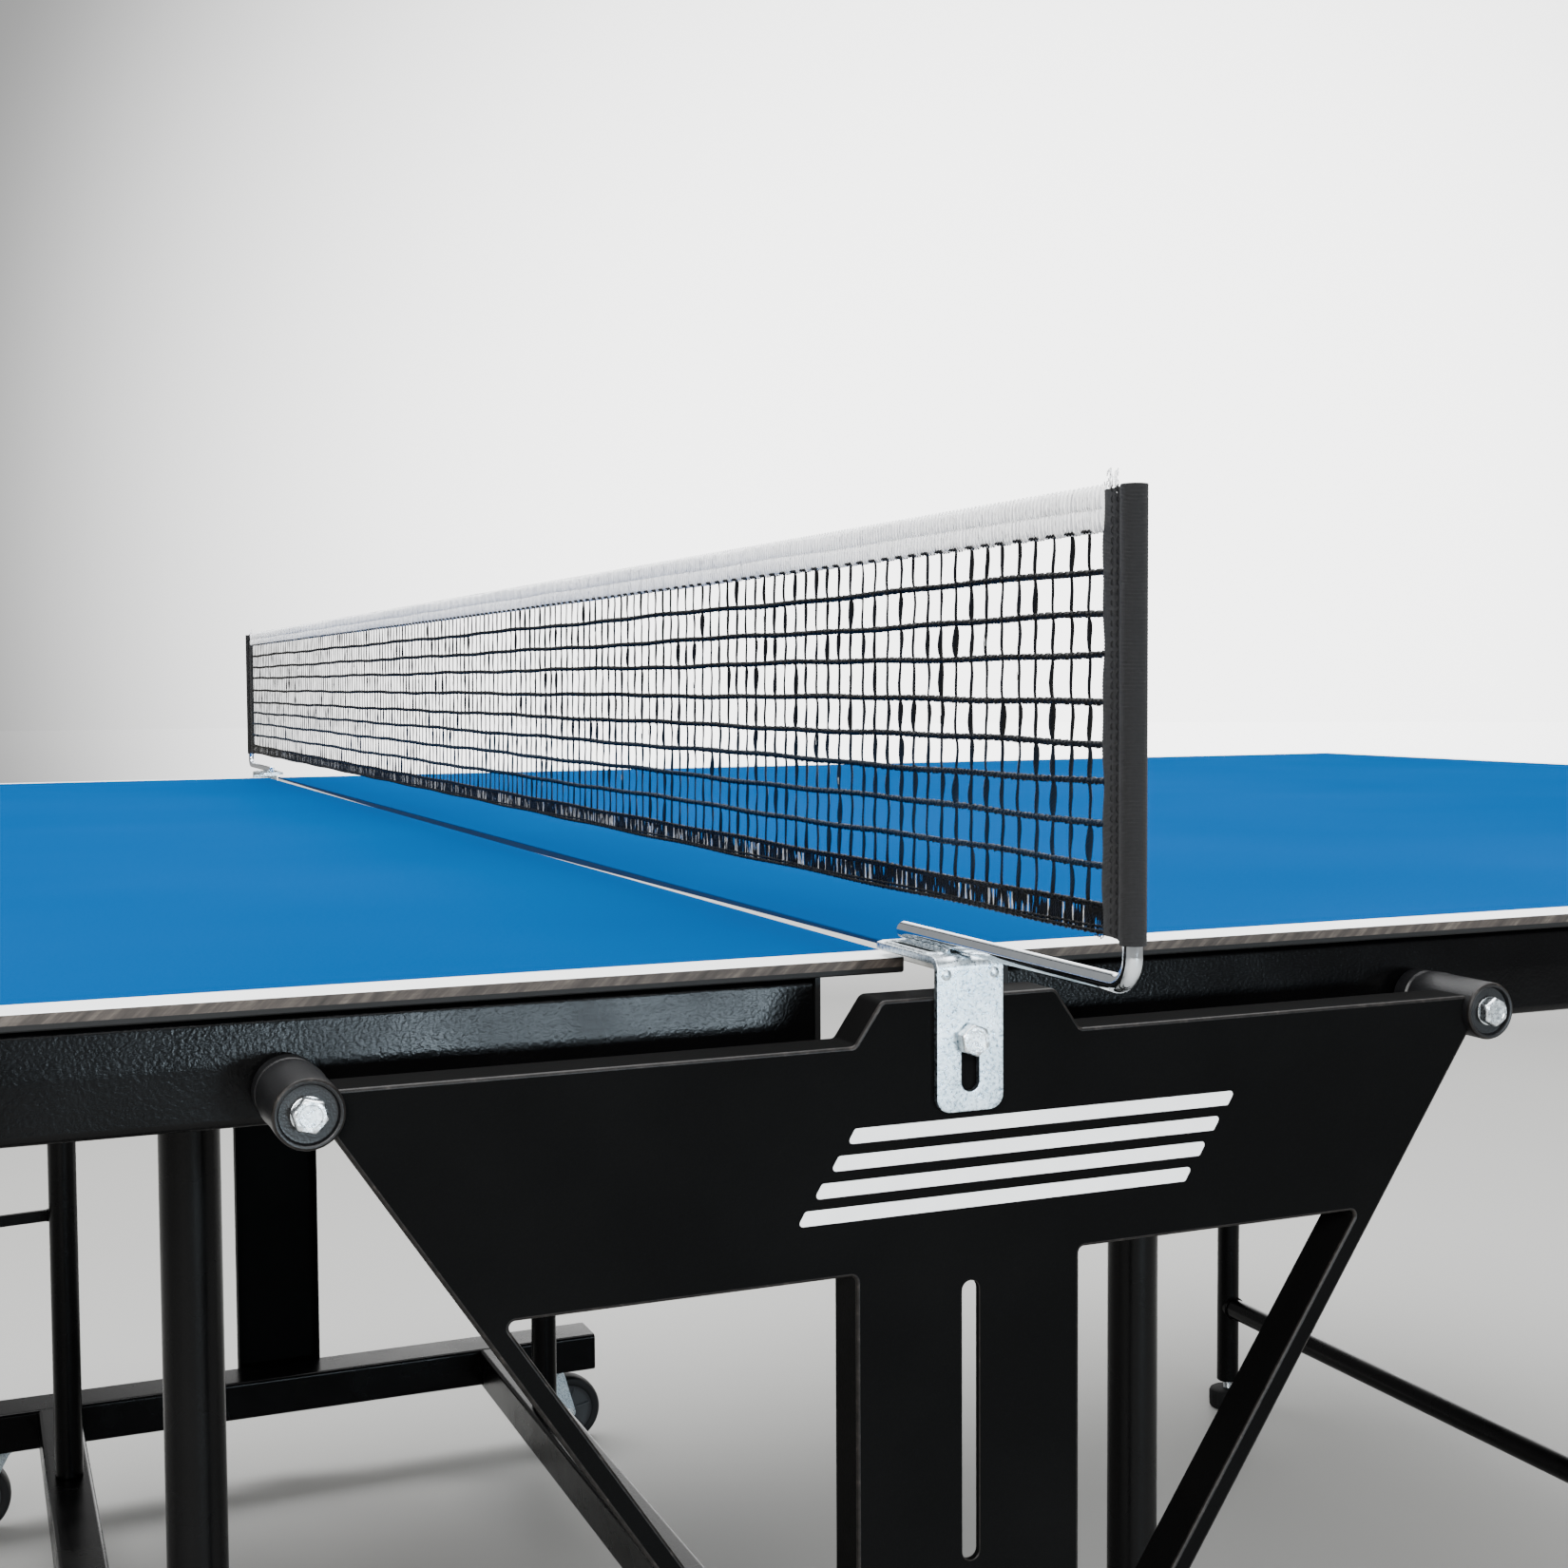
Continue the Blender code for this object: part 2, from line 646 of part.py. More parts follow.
def side_plate(y_side, end):
    def span(a, b):
        ya = y_side * (PLATE_Y - a)
        yb = y_side * (PLATE_Y - b)
        return min(ya, yb), max(ya, yb)

    body = prism(plate_outline(0.0), "xz", *span(0.0, PLATE_DEPTH))
    pocket = prism(plate_outline(PLATE_T), "xz", *span(PLATE_T, PLATE_DEPTH + 0.01))
    for side in (-1, 1):
        cut(pocket, prism(window_outline(side, PLATE_T), "xz", *span(-0.01, PLATE_DEPTH + 0.02)))
    cut(body, pocket)
    for side in (-1, 1):
        cut(body, prism(window_outline(side, 0.0), "xz", *span(-0.01, PLATE_DEPTH + 0.02)))
    slit = stadium(SLIT_LOW_Z, SLIT_TOP_Z - SLIT_W / 2, 0.0, SLIT_W / 2)
    cut(body, prism(slit, "xz", *span(-0.01, PLATE_DEPTH + 0.02)))
    back = TOP_WIDTH / 2 - APRON_INSET + 0.0008
    for side in (-1, 1):
        x = side * PIVOT_X
        centre = y_side * (BOSS_FACE_Y + back) / 2
        join(body, rod("y", (x, centre, PIVOT_Z), BOSS_R, BOSS_FACE_Y - back, seg=24))
    for side in (-1, 1):
        x = side * PIVOT_X
        face = y_side * BOSS_FACE_Y
        cut(body, rod("y", (x, face, PIVOT_Z), BOSS_RECESS_R, 0.0024, seg=24))
        centre = y_side * (BOSS_FACE_Y + back) / 2
        cut(body, rod("y", (x, centre, PIVOT_Z), BOLT_R + 0.00008, BOSS_FACE_Y - back + 0.02))
        mid = y_side * (back + 0.010)
        band = rod("y", (x, mid, PIVOT_Z), BOSS_R + 0.002, 0.0012, seg=24)
        cut(band, rod("y", (x, mid, PIVOT_Z), BOSS_R - 0.0009, 0.01, seg=24))
        cut(body, band)
    cut(body, rod("y", (0.0, y_side * PLATE_Y, BRACKET_BOLT_Z), BOLT_R + 0.00008, 0.05))
    dress(body, "side_plate_" + end, "plate")
    set_origin(body, (0.0, y_side * PLATE_Y, PLATE_CREST_Z))
    for side, tag in ((-1, "left"), (1, "right")):
        x = side * PIVOT_X
        seat = BOSS_FACE_Y - 0.0012 + FIT
        inner = TOP_WIDTH / 2 - APRON_INSET - RAIL_W - 0.006
        shank = rod("y", (x, y_side * (seat + inner) / 2, PIVOT_Z), BOLT_R, seat - inner)
        ya = y_side * (seat - 0.0001)
        yb = y_side * (seat + 0.0009)
        join(shank, rod("y", (x, (ya + yb) / 2, PIVOT_Z), 0.0064, 0.001))
        yc = y_side * (seat + 0.0008 + HEX_H)
        head = prism(hexagon(x, PIVOT_Z, HEX_AF, 0.35), "xz", min(ya, yc), max(ya, yc))
        join(shank, head)
        dress(shank, "pivot_bolt_" + tag + "_" + end, "zinc")
        set_origin(shank, (x, y_side * seat, PIVOT_Z))


# ---------------------------------------------------------------- net set
def net_bracket(y_side, end):
    y_front = PLATE_Y + FIT + BRACKET_T
    y_back = PLATE_Y + FIT
    half = BRACKET_W / 2
    z_top = BRACKET_TOP_Z
    outline = rounded(
        [
            (y_side * y_front, BRACKET_LOW_Z),
            (y_side * y_front, z_top),
            (y_side * ROD_IN_Y, z_top),
            (y_side * ROD_IN_Y, z_top - BRACKET_T),
            (y_side * y_back, z_top - BRACKET_T),
            (y_side * y_back, BRACKET_LOW_Z),
        ],
        [0.0, 0.0032, 0.0006, 0.0006, 0.0008, 0.0],
        steps=5,
    )
    strap = prism(outline, "yz", -half, half)
    for side in (-1, 1):
        r = 0.005
        cx = side * (half - r)
        cz = BRACKET_LOW_Z + r
        y = y_side * PLATE_Y
        square = box(
            min(cx, side * (half + 0.002)),
            max(cx, side * (half + 0.002)),
            y - 0.01,
            y + 0.01,
            BRACKET_LOW_Z - 0.002,
            cz,
        )
        cut(square, rod("y", (cx, y, cz), r, 0.05))
        cut(strap, square)
    low = BRACKET_BOLT_Z - NET_TRAVEL - 0.0001
    slot = stadium(low, BRACKET_BOLT_Z + 0.0002, 0.0, SLOT_R)
    y0 = y_side * PLATE_Y
    cut(strap, prism(slot, "xz", y0 - 0.01, y0 + 0.01))
    dress(strap, "net_bracket_" + end, "zinc")
    set_origin(strap, (0.0, y_side * y_front, BRACKET_BOLT_Z))
    seat = PLATE_Y + BRACKET_T + 2 * FIT
    inner = PLATE_Y - 0.015
    shank = rod("y", (0.0, y_side * (seat + inner) / 2, BRACKET_BOLT_Z), BOLT_R, seat - inner)
    ya = y_side * (seat - 0.0001)
    yb = y_side * (seat + HEX_H)
    join(shank, prism(hexagon(0.0, BRACKET_BOLT_Z, HEX_AF, 0.2), "xz", min(ya, yb), max(ya, yb)))
    dress(shank, "bracket_bolt_" + end, "zinc")
    set_origin(shank, (0.0, y_side * seat, BRACKET_BOLT_Z))


def net_rod(y_side, end):
    z = BRACKET_TOP_Z + ROD_R + FIT
    path = [(0.0, y_side * ROD_IN_Y, z)]
    turn = POST_Y - ROD_BEND
    for k in range(9):
        a = math.pi / 2 * k / 8
        y = turn + ROD_BEND * math.sin(a)
        path.append((0.0, y_side * y, z + ROD_BEND - ROD_BEND * math.cos(a)))
    path.append((0.0, y_side * POST_Y, TOP_HEIGHT + NET_HEIGHT - 0.002))
    bar = swept(path, ROD_R)
    dress(bar, "net_rod_" + end, "chrome")
    set_origin(bar, (0.0, y_side * POST_Y, z))
    z0 = TOP_HEIGHT + SLEEVE_LOW
    z1 = TOP_HEIGHT + NET_HEIGHT
    sleeve = rod("z", (0.0, y_side * POST_Y, (z0 + z1) / 2), SLEEVE_R, z1 - z0)
    ya = y_side * (POST_Y - 0.002)
    yb = y_side * HEM_IN_Y
    join(sleeve, box(-0.0008, 0.0008, min(ya, yb), max(ya, yb), z0, z1))
    cut(sleeve, rod("z", (0.0, y_side * POST_Y, (z0 + z1) / 2), ROD_R + 0.0003, 0.3))
    dress(sleeve, "net_sleeve_" + end, "cord")
    set_origin(sleeve, (0.0, y_side * POST_Y, z0))


def net_body():
    reach = HEM_IN_Y - FIT
    low = TOP_HEIGHT + SLEEVE_LOW + 0.001
    top = TOP_HEIGHT + NET_HEIGHT
    band = box(-0.0012, 0.0012, -reach, reach, low, low + BAND_H)
    dress(band, "net_band", "cord")
    mesh = box(-0.0006, 0.0006, -reach, reach, low + BAND_H + FIT, top - TAPE_H - FIT)
    dress(mesh, "net_mesh", "cord")
    tape = box(-0.0012, 0.0012, -reach, reach, top - TAPE_H, top)
    dress(tape, "net_tape", "white")


# ---------------------------------------------------------------- assembly
clear_scene()
for half_side, half_tag in ((-1, "left"), (1, "right")):
    half_top(half_side, half_tag)
    half_frame(half_side, half_tag)
    leg_frame(half_side, half_tag)
    for end_side, end_tag in ((-1, "near"), (1, "far")):
        link_strut(half_side, half_tag, end_side, end_tag)
        upright(half_side, half_tag, end_side, end_tag)
        caster(half_side, half_tag, end_side, end_tag)
base_rails()
for end_side, end_tag in ((-1, "near"), (1, "far")):
    side_plate(end_side, end_tag)
    net_bracket(end_side, end_tag)
    net_rod(end_side, end_tag)
net_body()
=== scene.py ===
"""Looks of the rollaway table tennis table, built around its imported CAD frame."""
import math
import random

import bmesh
import bpy
from mathutils import Matrix, Vector


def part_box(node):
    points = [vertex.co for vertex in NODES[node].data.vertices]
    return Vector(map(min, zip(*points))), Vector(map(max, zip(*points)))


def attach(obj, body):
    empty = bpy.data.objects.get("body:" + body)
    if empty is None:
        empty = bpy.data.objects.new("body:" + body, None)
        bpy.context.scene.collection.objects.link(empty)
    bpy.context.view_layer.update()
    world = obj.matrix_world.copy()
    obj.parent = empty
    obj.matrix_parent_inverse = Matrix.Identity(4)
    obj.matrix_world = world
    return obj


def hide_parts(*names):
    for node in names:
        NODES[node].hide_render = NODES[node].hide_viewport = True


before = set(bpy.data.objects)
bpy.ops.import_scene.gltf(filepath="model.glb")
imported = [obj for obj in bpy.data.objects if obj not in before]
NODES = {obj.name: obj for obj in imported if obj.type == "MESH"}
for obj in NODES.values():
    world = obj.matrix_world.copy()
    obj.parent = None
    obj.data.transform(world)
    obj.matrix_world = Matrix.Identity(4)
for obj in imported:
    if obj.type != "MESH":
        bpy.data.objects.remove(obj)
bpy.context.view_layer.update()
RNG = random.Random(20)

# sizes the looks share with the CAD, in metres
TOP_Z = 0.760
HALF_W = 0.7625
BOARD_T = 0.0055
PIVOT_X = 0.2207
PIVOT_Z = 0.7310
PLATE_Y = 0.800
PLATE_DEPTH = 0.018
PLATE_T = 0.0025
POST_Y = 0.902
HEM_Y = 0.8865
NET_TOP = 0.9125
NET_LOW = 0.7815
BRACKET_BOLT_Z = 0.7370
SIDES = (("left", -1), ("right", 1))
ENDS = (("near", -1), ("far", 1))


# ------------------------------------------------------------------ materials
class Shade:
    """A Principled material put together from procedural textures in object space."""

    def __init__(self, name, colour, rough, metallic=0.0, specular=0.5):
        self.mat = bpy.data.materials.new(name)
        self.mat.use_nodes = True
        self.tree = self.mat.node_tree
        self.bsdf = self.tree.nodes["Principled BSDF"]
        self.bsdf.inputs["Base Color"].default_value = (*colour, 1.0)
        self.bsdf.inputs["Roughness"].default_value = rough
        self.bsdf.inputs["Metallic"].default_value = metallic
        self.bsdf.inputs["Specular IOR Level"].default_value = specular
        self.coords = self.tree.nodes.new("ShaderNodeTexCoord")
        self.height = None

    def add(self, kind, **props):
        node = self.tree.nodes.new(kind)
        for key, value in props.items():
            setattr(node, key, value)
        return node

    def link(self, a, b):
        self.tree.links.new(a, b)

    def set(self, socket, value):
        self.bsdf.inputs[socket].default_value = value
        return self

    def place(self, scale=(1, 1, 1), turn=(0, 0, 0)):
        mapping = self.add("ShaderNodeMapping", vector_type="TEXTURE")
        mapping.inputs["Scale"].default_value = tuple(1.0 / v for v in scale)
        mapping.inputs["Rotation"].default_value = turn
        self.link(self.coords.outputs["Object"], mapping.inputs["Vector"])
        return mapping.outputs["Vector"]

    def noise(self, scale, detail=3.0, stretch=(1, 1, 1), turn=(0, 0, 0), rough=0.5):
        tex = self.add("ShaderNodeTexNoise")
        tex.inputs["Scale"].default_value = scale
        tex.inputs["Detail"].default_value = detail
        tex.inputs["Roughness"].default_value = rough
        self.link(self.place(stretch, turn), tex.inputs["Vector"])
        return tex.outputs["Fac"]

    def wave(self, scale, axis="X", distort=0.0, detail=1.0, stretch=(1, 1, 1), turn=(0, 0, 0)):
        tex = self.add("ShaderNodeTexWave", bands_direction=axis)
        tex.inputs["Scale"].default_value = scale
        tex.inputs["Distortion"].default_value = distort
        tex.inputs["Detail"].default_value = detail
        self.link(self.place(stretch, turn), tex.inputs["Vector"])
        return tex.outputs["Fac"]

    def cells(self, scale, feature="F1", stretch=(1, 1, 1)):
        tex = self.add("ShaderNodeTexVoronoi", feature=feature)
        tex.inputs["Scale"].default_value = scale
        self.link(self.place(stretch), tex.inputs["Vector"])
        return tex.outputs["Distance"]

    def spread(self, value, lo, hi, out_lo, out_hi):
        rng = self.add("ShaderNodeMapRange")
        for key, number in zip(("From Min", "From Max", "To Min", "To Max"), (lo, hi, out_lo, out_hi)):
            rng.inputs[key].default_value = number
        self.link(value, rng.inputs["Value"])
        return rng.outputs["Result"]

    def ramp(self, value, stops):
        node = self.add("ShaderNodeValToRGB")
        while len(node.color_ramp.elements) < len(stops):
            node.color_ramp.elements.new(0.5)
        for element, (pos, colour) in zip(node.color_ramp.elements, stops):
            element.position = pos
            element.color = (*colour, 1.0)
        self.link(value, node.inputs["Fac"])
        return node.outputs["Color"]

    def mix(self, factor, a, b):
        node = self.add("ShaderNodeMix", data_type="RGBA")
        for socket, value in ((node.inputs[0], factor), (node.inputs[6], a), (node.inputs[7], b)):
            if isinstance(value, bpy.types.NodeSocket):
                self.link(value, socket)
            elif isinstance(value, (tuple, list)):
                socket.default_value = (*value, 1.0)
            else:
                socket.default_value = value
        return node.outputs[2]

    def math(self, kind, a, b=0.0):
        node = self.add("ShaderNodeMath", operation=kind)
        for socket, value in ((node.inputs[0], a), (node.inputs[1], b)):
            if isinstance(value, bpy.types.NodeSocket):
                self.link(value, socket)
            else:
                socket.default_value = value
        return node.outputs["Value"]

    def axis(self, name):
        sep = self.add("ShaderNodeSeparateXYZ")
        self.link(self.coords.outputs["Object"], sep.inputs["Vector"])
        return sep.outputs[name]

    def colour(self, socket):
        self.link(socket, self.bsdf.inputs["Base Color"])
        return self

    def roughness(self, socket):
        self.link(socket, self.bsdf.inputs["Roughness"])
        return self

    def bump(self, value, distance, strength=1.0):
        node = self.add("ShaderNodeBump")
        node.inputs["Distance"].default_value = distance
        node.inputs["Strength"].default_value = strength
        self.link(value, node.inputs["Height"])
        if self.height is not None:
            self.link(self.height, node.inputs["Normal"])
        self.height = node.outputs["Normal"]
        self.link(self.height, self.bsdf.inputs["Normal"])
        return self


def blue_top():
    s = Shade("top_blue", (0.0, 0.046, 0.160), 0.46, specular=0.0)
    fine = s.noise(900.0, 4.0)
    broad = s.noise(3.0, 2.0)
    tone = s.mix(s.spread(broad, 0.3, 0.7, 0.0, 1.0), (0.0, 0.040, 0.146), (0.0, 0.046, 0.162))
    s.colour(s.mix(s.spread(fine, 0.35, 0.75, 0.0, 0.22), tone, (0.0, 0.060, 0.190)))
    s.set("Coat Weight", 0.005)
    s.set("Coat Roughness", 0.30)
    s.bump(s.noise(1400.0, 2.0), 0.00004, 0.6)
    return s.mat


def line_white():
    s = Shade("line_white", (0.80, 0.82, 0.82), 0.42)
    s.colour(s.mix(s.spread(s.noise(40.0, 4.0), 0.3, 0.8, 0.0, 0.5), (0.83, 0.85, 0.85), (0.72, 0.74, 0.75)))
    s.bump(s.noise(1100.0, 3.0), 0.00006, 0.6)
    return s.mat


def laminate_edge():
    s = Shade("laminate_edge", (0.05, 0.042, 0.036), 0.62, specular=0.25)
    streak = s.noise(1.0, 4.0, stretch=(420, 420, 45), turn=(0.0, 0.85, 0.0), rough=0.65)
    grain = s.noise(1.0, 2.0, stretch=(90, 90, 1400), rough=0.6)
    tone = s.ramp(
        streak, [(0.28, (0.010, 0.0085, 0.0072)), (0.50, (0.042, 0.034, 0.029)), (0.75, (0.105, 0.088, 0.074))]
    )
    tone = s.mix(s.spread(grain, 0.3, 0.7, 0.0, 0.45), tone, (0.026, 0.021, 0.018))
    low = s.math("LESS_THAN", s.axis("Z"), TOP_Z - 0.0034)
    s.colour(s.mix(low, tone, (0.0016, 0.0016, 0.0016)))
    s.bump(streak, 0.00012, 0.8)
    return s.mat


def gap_edge():
    """Paint rolled over the lip, bare cream board below it; the lip is deeper mid table."""
    s = Shade("gap_edge", (0.0, 0.020, 0.075), 0.6, specular=0.1)
    lip = s.math("MULTIPLY", s.math("SUBTRACT", HALF_W, s.math("ABSOLUTE", s.axis("Y"))), 0.0045)
    depth = s.math("SUBTRACT", TOP_Z - 0.0015, s.axis("Z"))
    bare = s.spread(s.math("SUBTRACT", depth, lip), -0.0001, 0.0001, 0.0, 1.0)
    cream = s.mix(s.noise(120.0, 3.0), (0.80, 0.79, 0.75), (0.90, 0.89, 0.86))
    s.colour(s.mix(bare, (0.0, 0.020, 0.075), cream))
    s.bump(s.noise(700.0, 3.0), 0.0001, 0.5)
    return s.mat


def board_back():
    s = Shade("board_back", (0.006, 0.006, 0.006), 0.7, specular=0.2)
    s.colour(s.mix(s.noise(60.0, 5.0), (0.0040, 0.0040, 0.0042), (0.0100, 0.0098, 0.0095)))
    s.bump(s.noise(500.0, 4.0), 0.00012, 0.7)
    return s.mat


def powder_coat(name="powder_coat", tone=(0.0009, 0.0009, 0.0010), rough=0.24, peel=0.00014):
    s = Shade(name, tone, rough, specular=0.10)
    lighter = tuple(c * 1.7 for c in tone)
    s.colour(s.mix(s.spread(s.noise(30.0, 4.0), 0.35, 0.75, 0.0, 0.6), tone, lighter))
    s.roughness(s.spread(s.noise(22.0, 3.0), 0.3, 0.7, rough - 0.05, rough + 0.07))
    s.bump(s.noise(780.0, 1.5), peel, 0.75)
    s.bump(s.noise(2300.0, 2.0), 0.00003, 0.4)
    return s.mat


def moulded(name="moulded_cover", tone=(0.0018, 0.0018, 0.0018), rough=0.56, grain=0.00007, specular=0.02):
    s = Shade(name, tone, rough, specular=specular)
    dusty = tuple(c * 1.8 + 0.0004 for c in tone)
    s.colour(s.mix(s.spread(s.noise(18.0, 5.0), 0.45, 0.8, 0.0, 0.35), tone, dusty))
    s.roughness(s.spread(s.noise(14.0, 4.0), 0.3, 0.7, rough - 0.05, rough + 0.06))
    s.bump(s.cells(1500.0, "SMOOTH_F1"), grain, 0.6)
    return s.mat


# Lighter rims on the plates and bosses: a painted highlight along the rolled edges, mottled like scuffed wear.
def worn_edge_painted_highlight():
    s = Shade("worn_edge_painted_highlight", (0.012, 0.011, 0.010), 0.42, specular=0.16)
    scuff_and_highlight = s.noise(260.0, 5.0, rough=0.7)
    s.colour(s.ramp(scuff_and_highlight, [(0.35, (0.0024, 0.0021, 0.0020)), (0.58, (0.0085, 0.0072, 0.0066)), (0.78, (0.040, 0.034, 0.030))]))
    s.bump(s.noise(1500.0, 3.0), 0.00006, 0.7)
    return s.mat


def zinc(name="zinc_plate", dark=(0.17, 0.24, 0.30), light=(0.70, 0.78, 0.82), rough=0.24):
    s = Shade(name, light, rough, metallic=1.0)
    spangle = s.noise(760.0, 5.0, rough=0.75)
    broad = s.noise(75.0, 4.0, rough=0.6)
    tone = s.ramp(spangle, [(0.32, dark), (0.50, tuple((a + b) / 2 for a, b in zip(dark, light))), (0.66, light)])
    tone = s.mix(s.spread(broad, 0.50, 0.75, 0.0, 0.7), tone, (0.80, 0.86, 0.90))
    s.colour(tone)
    s.roughness(s.spread(spangle, 0.3, 0.7, rough - 0.06, rough + 0.18))
    s.bump(spangle, 0.00010, 0.6)
    return s.mat


def bright(name="bright_bar", tone=(0.66, 0.70, 0.74), rough=0.05):
    s = Shade(name, tone, rough, metallic=1.0)
    draw = s.noise(1.0, 3.0, stretch=(900, 40, 900))
    s.colour(s.mix(s.spread(s.noise(160.0, 4.0), 0.4, 0.8, 0.0, 0.4), tone, (0.48, 0.52, 0.57)))
    s.roughness(s.spread(draw, 0.3, 0.7, rough - 0.02, rough + 0.06))
    s.bump(s.noise(300.0, 3.0), 0.00002, 0.5)
    return s.mat


def rubber(name="rubber", tone=(0.0042, 0.0042, 0.0042), rough=0.78):
    s = Shade(name, tone, rough, specular=0.18)
    dust = s.noise(45.0, 6.0, rough=0.7)
    s.colour(s.mix(s.spread(dust, 0.5, 0.8, 0.0, 0.4), tone, (0.018, 0.017, 0.016)))
    s.bump(s.noise(900.0, 4.0), 0.00012, 0.7)
    return s.mat


def cord_black_painted_blue_reflection():
    s = Shade("cord_black_painted_blue_reflection", (0.0010, 0.0010, 0.0011), 0.42, specular=0.16)
    fibre = s.wave(520.0, "DIAGONAL", distort=3.0, detail=2.0)
    # Cords from about 0.79 m up to 0.84 m high are tinted blue: a painted reflection of the blue top below them; above
    # and below they stay black.
    low = s.spread(s.axis("Z"), 0.7915, 0.7960, 0.0, 1.0)
    high = s.spread(s.axis("Z"), 0.8150, 0.8420, 1.0, 0.0)
    tone = s.mix(s.math("MULTIPLY", low, high), (0.0010, 0.0010, 0.0011), (0.0006, 0.0065, 0.0170))
    s.colour(s.mix(s.spread(fibre, 0.4, 1.0, 0.0, 0.3), tone, (0.0042, 0.0043, 0.0048)))
    s.bump(fibre, 0.00008, 0.8)
    return s.mat


# Glossy film whose light-grey base colour is a painted glint.
def film_painted_highlights():
    s = Shade("film_painted_highlights", (0.10, 0.10, 0.10), 0.30, specular=0.7)
    s.colour(s.mix(s.noise(700.0, 3.0), (0.020, 0.020, 0.022), (0.42, 0.42, 0.41)))
    s.bump(s.wave(900.0, "Z", distort=2.0), 0.00006, 0.7)
    return s.mat


def tape_white():
    s = Shade("tape_white", (0.93, 0.93, 0.93), 0.68, specular=0.3)
    s.set("Sheen Weight", 0.5)
    rib = s.wave(260.0, "Y", distort=2.4, detail=3.0)
    loops = s.cells(1300.0, "F1", stretch=(1, 1, 0.35))
    # Greyer in the rib grooves and between the knit loops: painted shade in the creases of the knit; the bumps below
    # follow the same pattern.
    tone = s.mix(s.spread(loops, 0.25, 0.95, 0.0, 0.6), (1.0, 1.0, 1.0), (0.86, 0.865, 0.88))
    tone = s.mix(s.spread(rib, 0.0, 0.45, 0.40, 0.0), tone, (0.74, 0.75, 0.78))
    s.colour(tone)
    s.bump(rib, 0.00045, 0.9)
    s.bump(loops, 0.00030, 0.8)
    return s.mat


def sleeve_cloth():
    s = Shade("sleeve_cloth", (0.0030, 0.0030, 0.0034), 0.62, specular=0.22)
    s.set("Sheen Weight", 0.06)
    s.set("Sheen Roughness", 0.5)
    weft = s.wave(900.0, "Z", distort=0.8, detail=2.0)
    warp = s.noise(1.0, 2.0, stretch=(2600, 2600, 300))
    s.colour(s.mix(s.spread(weft, 0.3, 1.0, 0.0, 0.8), (0.0020, 0.0020, 0.0023), (0.0095, 0.0095, 0.0108)))
    s.bump(weft, 0.00022, 0.8)
    s.bump(warp, 0.00010, 0.6)
    return s.mat


def print_white():
    s = Shade("print_white", (0.70, 0.70, 0.70), 0.50)
    s.colour(s.mix(s.noise(90.0, 4.0), (0.66, 0.66, 0.66), (0.76, 0.76, 0.76)))
    s.bump(s.cells(1500.0, "SMOOTH_F1"), 0.00005, 0.5)
    return s.mat


WALL_WAY = Vector((0.52, 0.85, 0.06)).normalized()


def wall_glow(tree, direction):
    """Brightness of the studio wall seen in a direction."""
    facing = tree.nodes.new("ShaderNodeVectorMath")
    facing.operation = "DOT_PRODUCT"
    facing.inputs[1].default_value = WALL_WAY
    fall = tree.nodes.new("ShaderNodeMapRange")
    fall.interpolation_type = "SMOOTHSTEP"
    for key, number in (("From Min", 0.84), ("From Max", 1.0), ("To Min", 0.42), ("To Max", 4.9)):
        fall.inputs[key].default_value = number
    tree.links.new(direction, facing.inputs[0])
    tree.links.new(facing.outputs["Value"], fall.inputs["Value"])
    return fall.outputs["Result"]


def floor_pale():
    """Pale floor that melts into the wall far away."""
    s = Shade("floor_pale", (0.40, 0.395, 0.38), 0.6, specular=0.15)
    unit = s.add("ShaderNodeVectorMath", operation="NORMALIZE")
    s.link(s.coords.outputs["Object"], unit.inputs[0])
    reach = s.add("ShaderNodeVectorMath", operation="LENGTH")
    s.link(s.coords.outputs["Object"], reach.inputs[0])
    far = s.spread(reach.outputs["Value"], 4.0, 12.0, 0.0, 1.0)
    near = s.mix(s.noise(0.8, 3.0), (0.385, 0.380, 0.366), (0.420, 0.416, 0.402))
    s.colour(s.mix(far, near, (0.0, 0.0, 0.0)))
    glow = s.math("MULTIPLY", wall_glow(s.tree, unit.outputs["Vector"]), far)
    s.set("Emission Color", (1.0, 1.0, 0.995, 1.0))
    s.link(glow, s.bsdf.inputs["Emission Strength"])
    return s.mat


M = {
    "blue": blue_top(),
    "line": line_white(),
    "edge": laminate_edge(),
    "gap": gap_edge(),
    "back": board_back(),
    "powder": powder_coat(),
    "tube": powder_coat("tube_coat", (0.0010, 0.0010, 0.0011), 0.26, 0.00007),
    "cover": moulded(),
    "boss": moulded("boss_moulding", (0.0030, 0.0031, 0.0036), 0.40, 0.00012, 0.28),
    "wear_and_painted_highlight": worn_edge_painted_highlight(),
    "zinc": zinc(),
    "bolt": zinc("bolt_zinc", (0.36, 0.41, 0.45), (0.86, 0.89, 0.90), 0.22),
    "bright": bright(),
    "rubber": rubber(),
    "tyre": rubber("tyre_rubber", (0.0085, 0.0085, 0.0088), 0.62),
    "hub": moulded("hub_plastic", (0.030, 0.031, 0.033), 0.48, 0.00005, 0.25),
    "plug": moulded("plug_plastic", (0.0032, 0.0032, 0.0034), 0.50, 0.00006, 0.2),
    "cord": cord_black_painted_blue_reflection(),
    "film": film_painted_highlights(),
    "tape": tape_white(),
    "sleeve": sleeve_cloth(),
    "print": print_white(),
    "floor": floor_pale(),
}


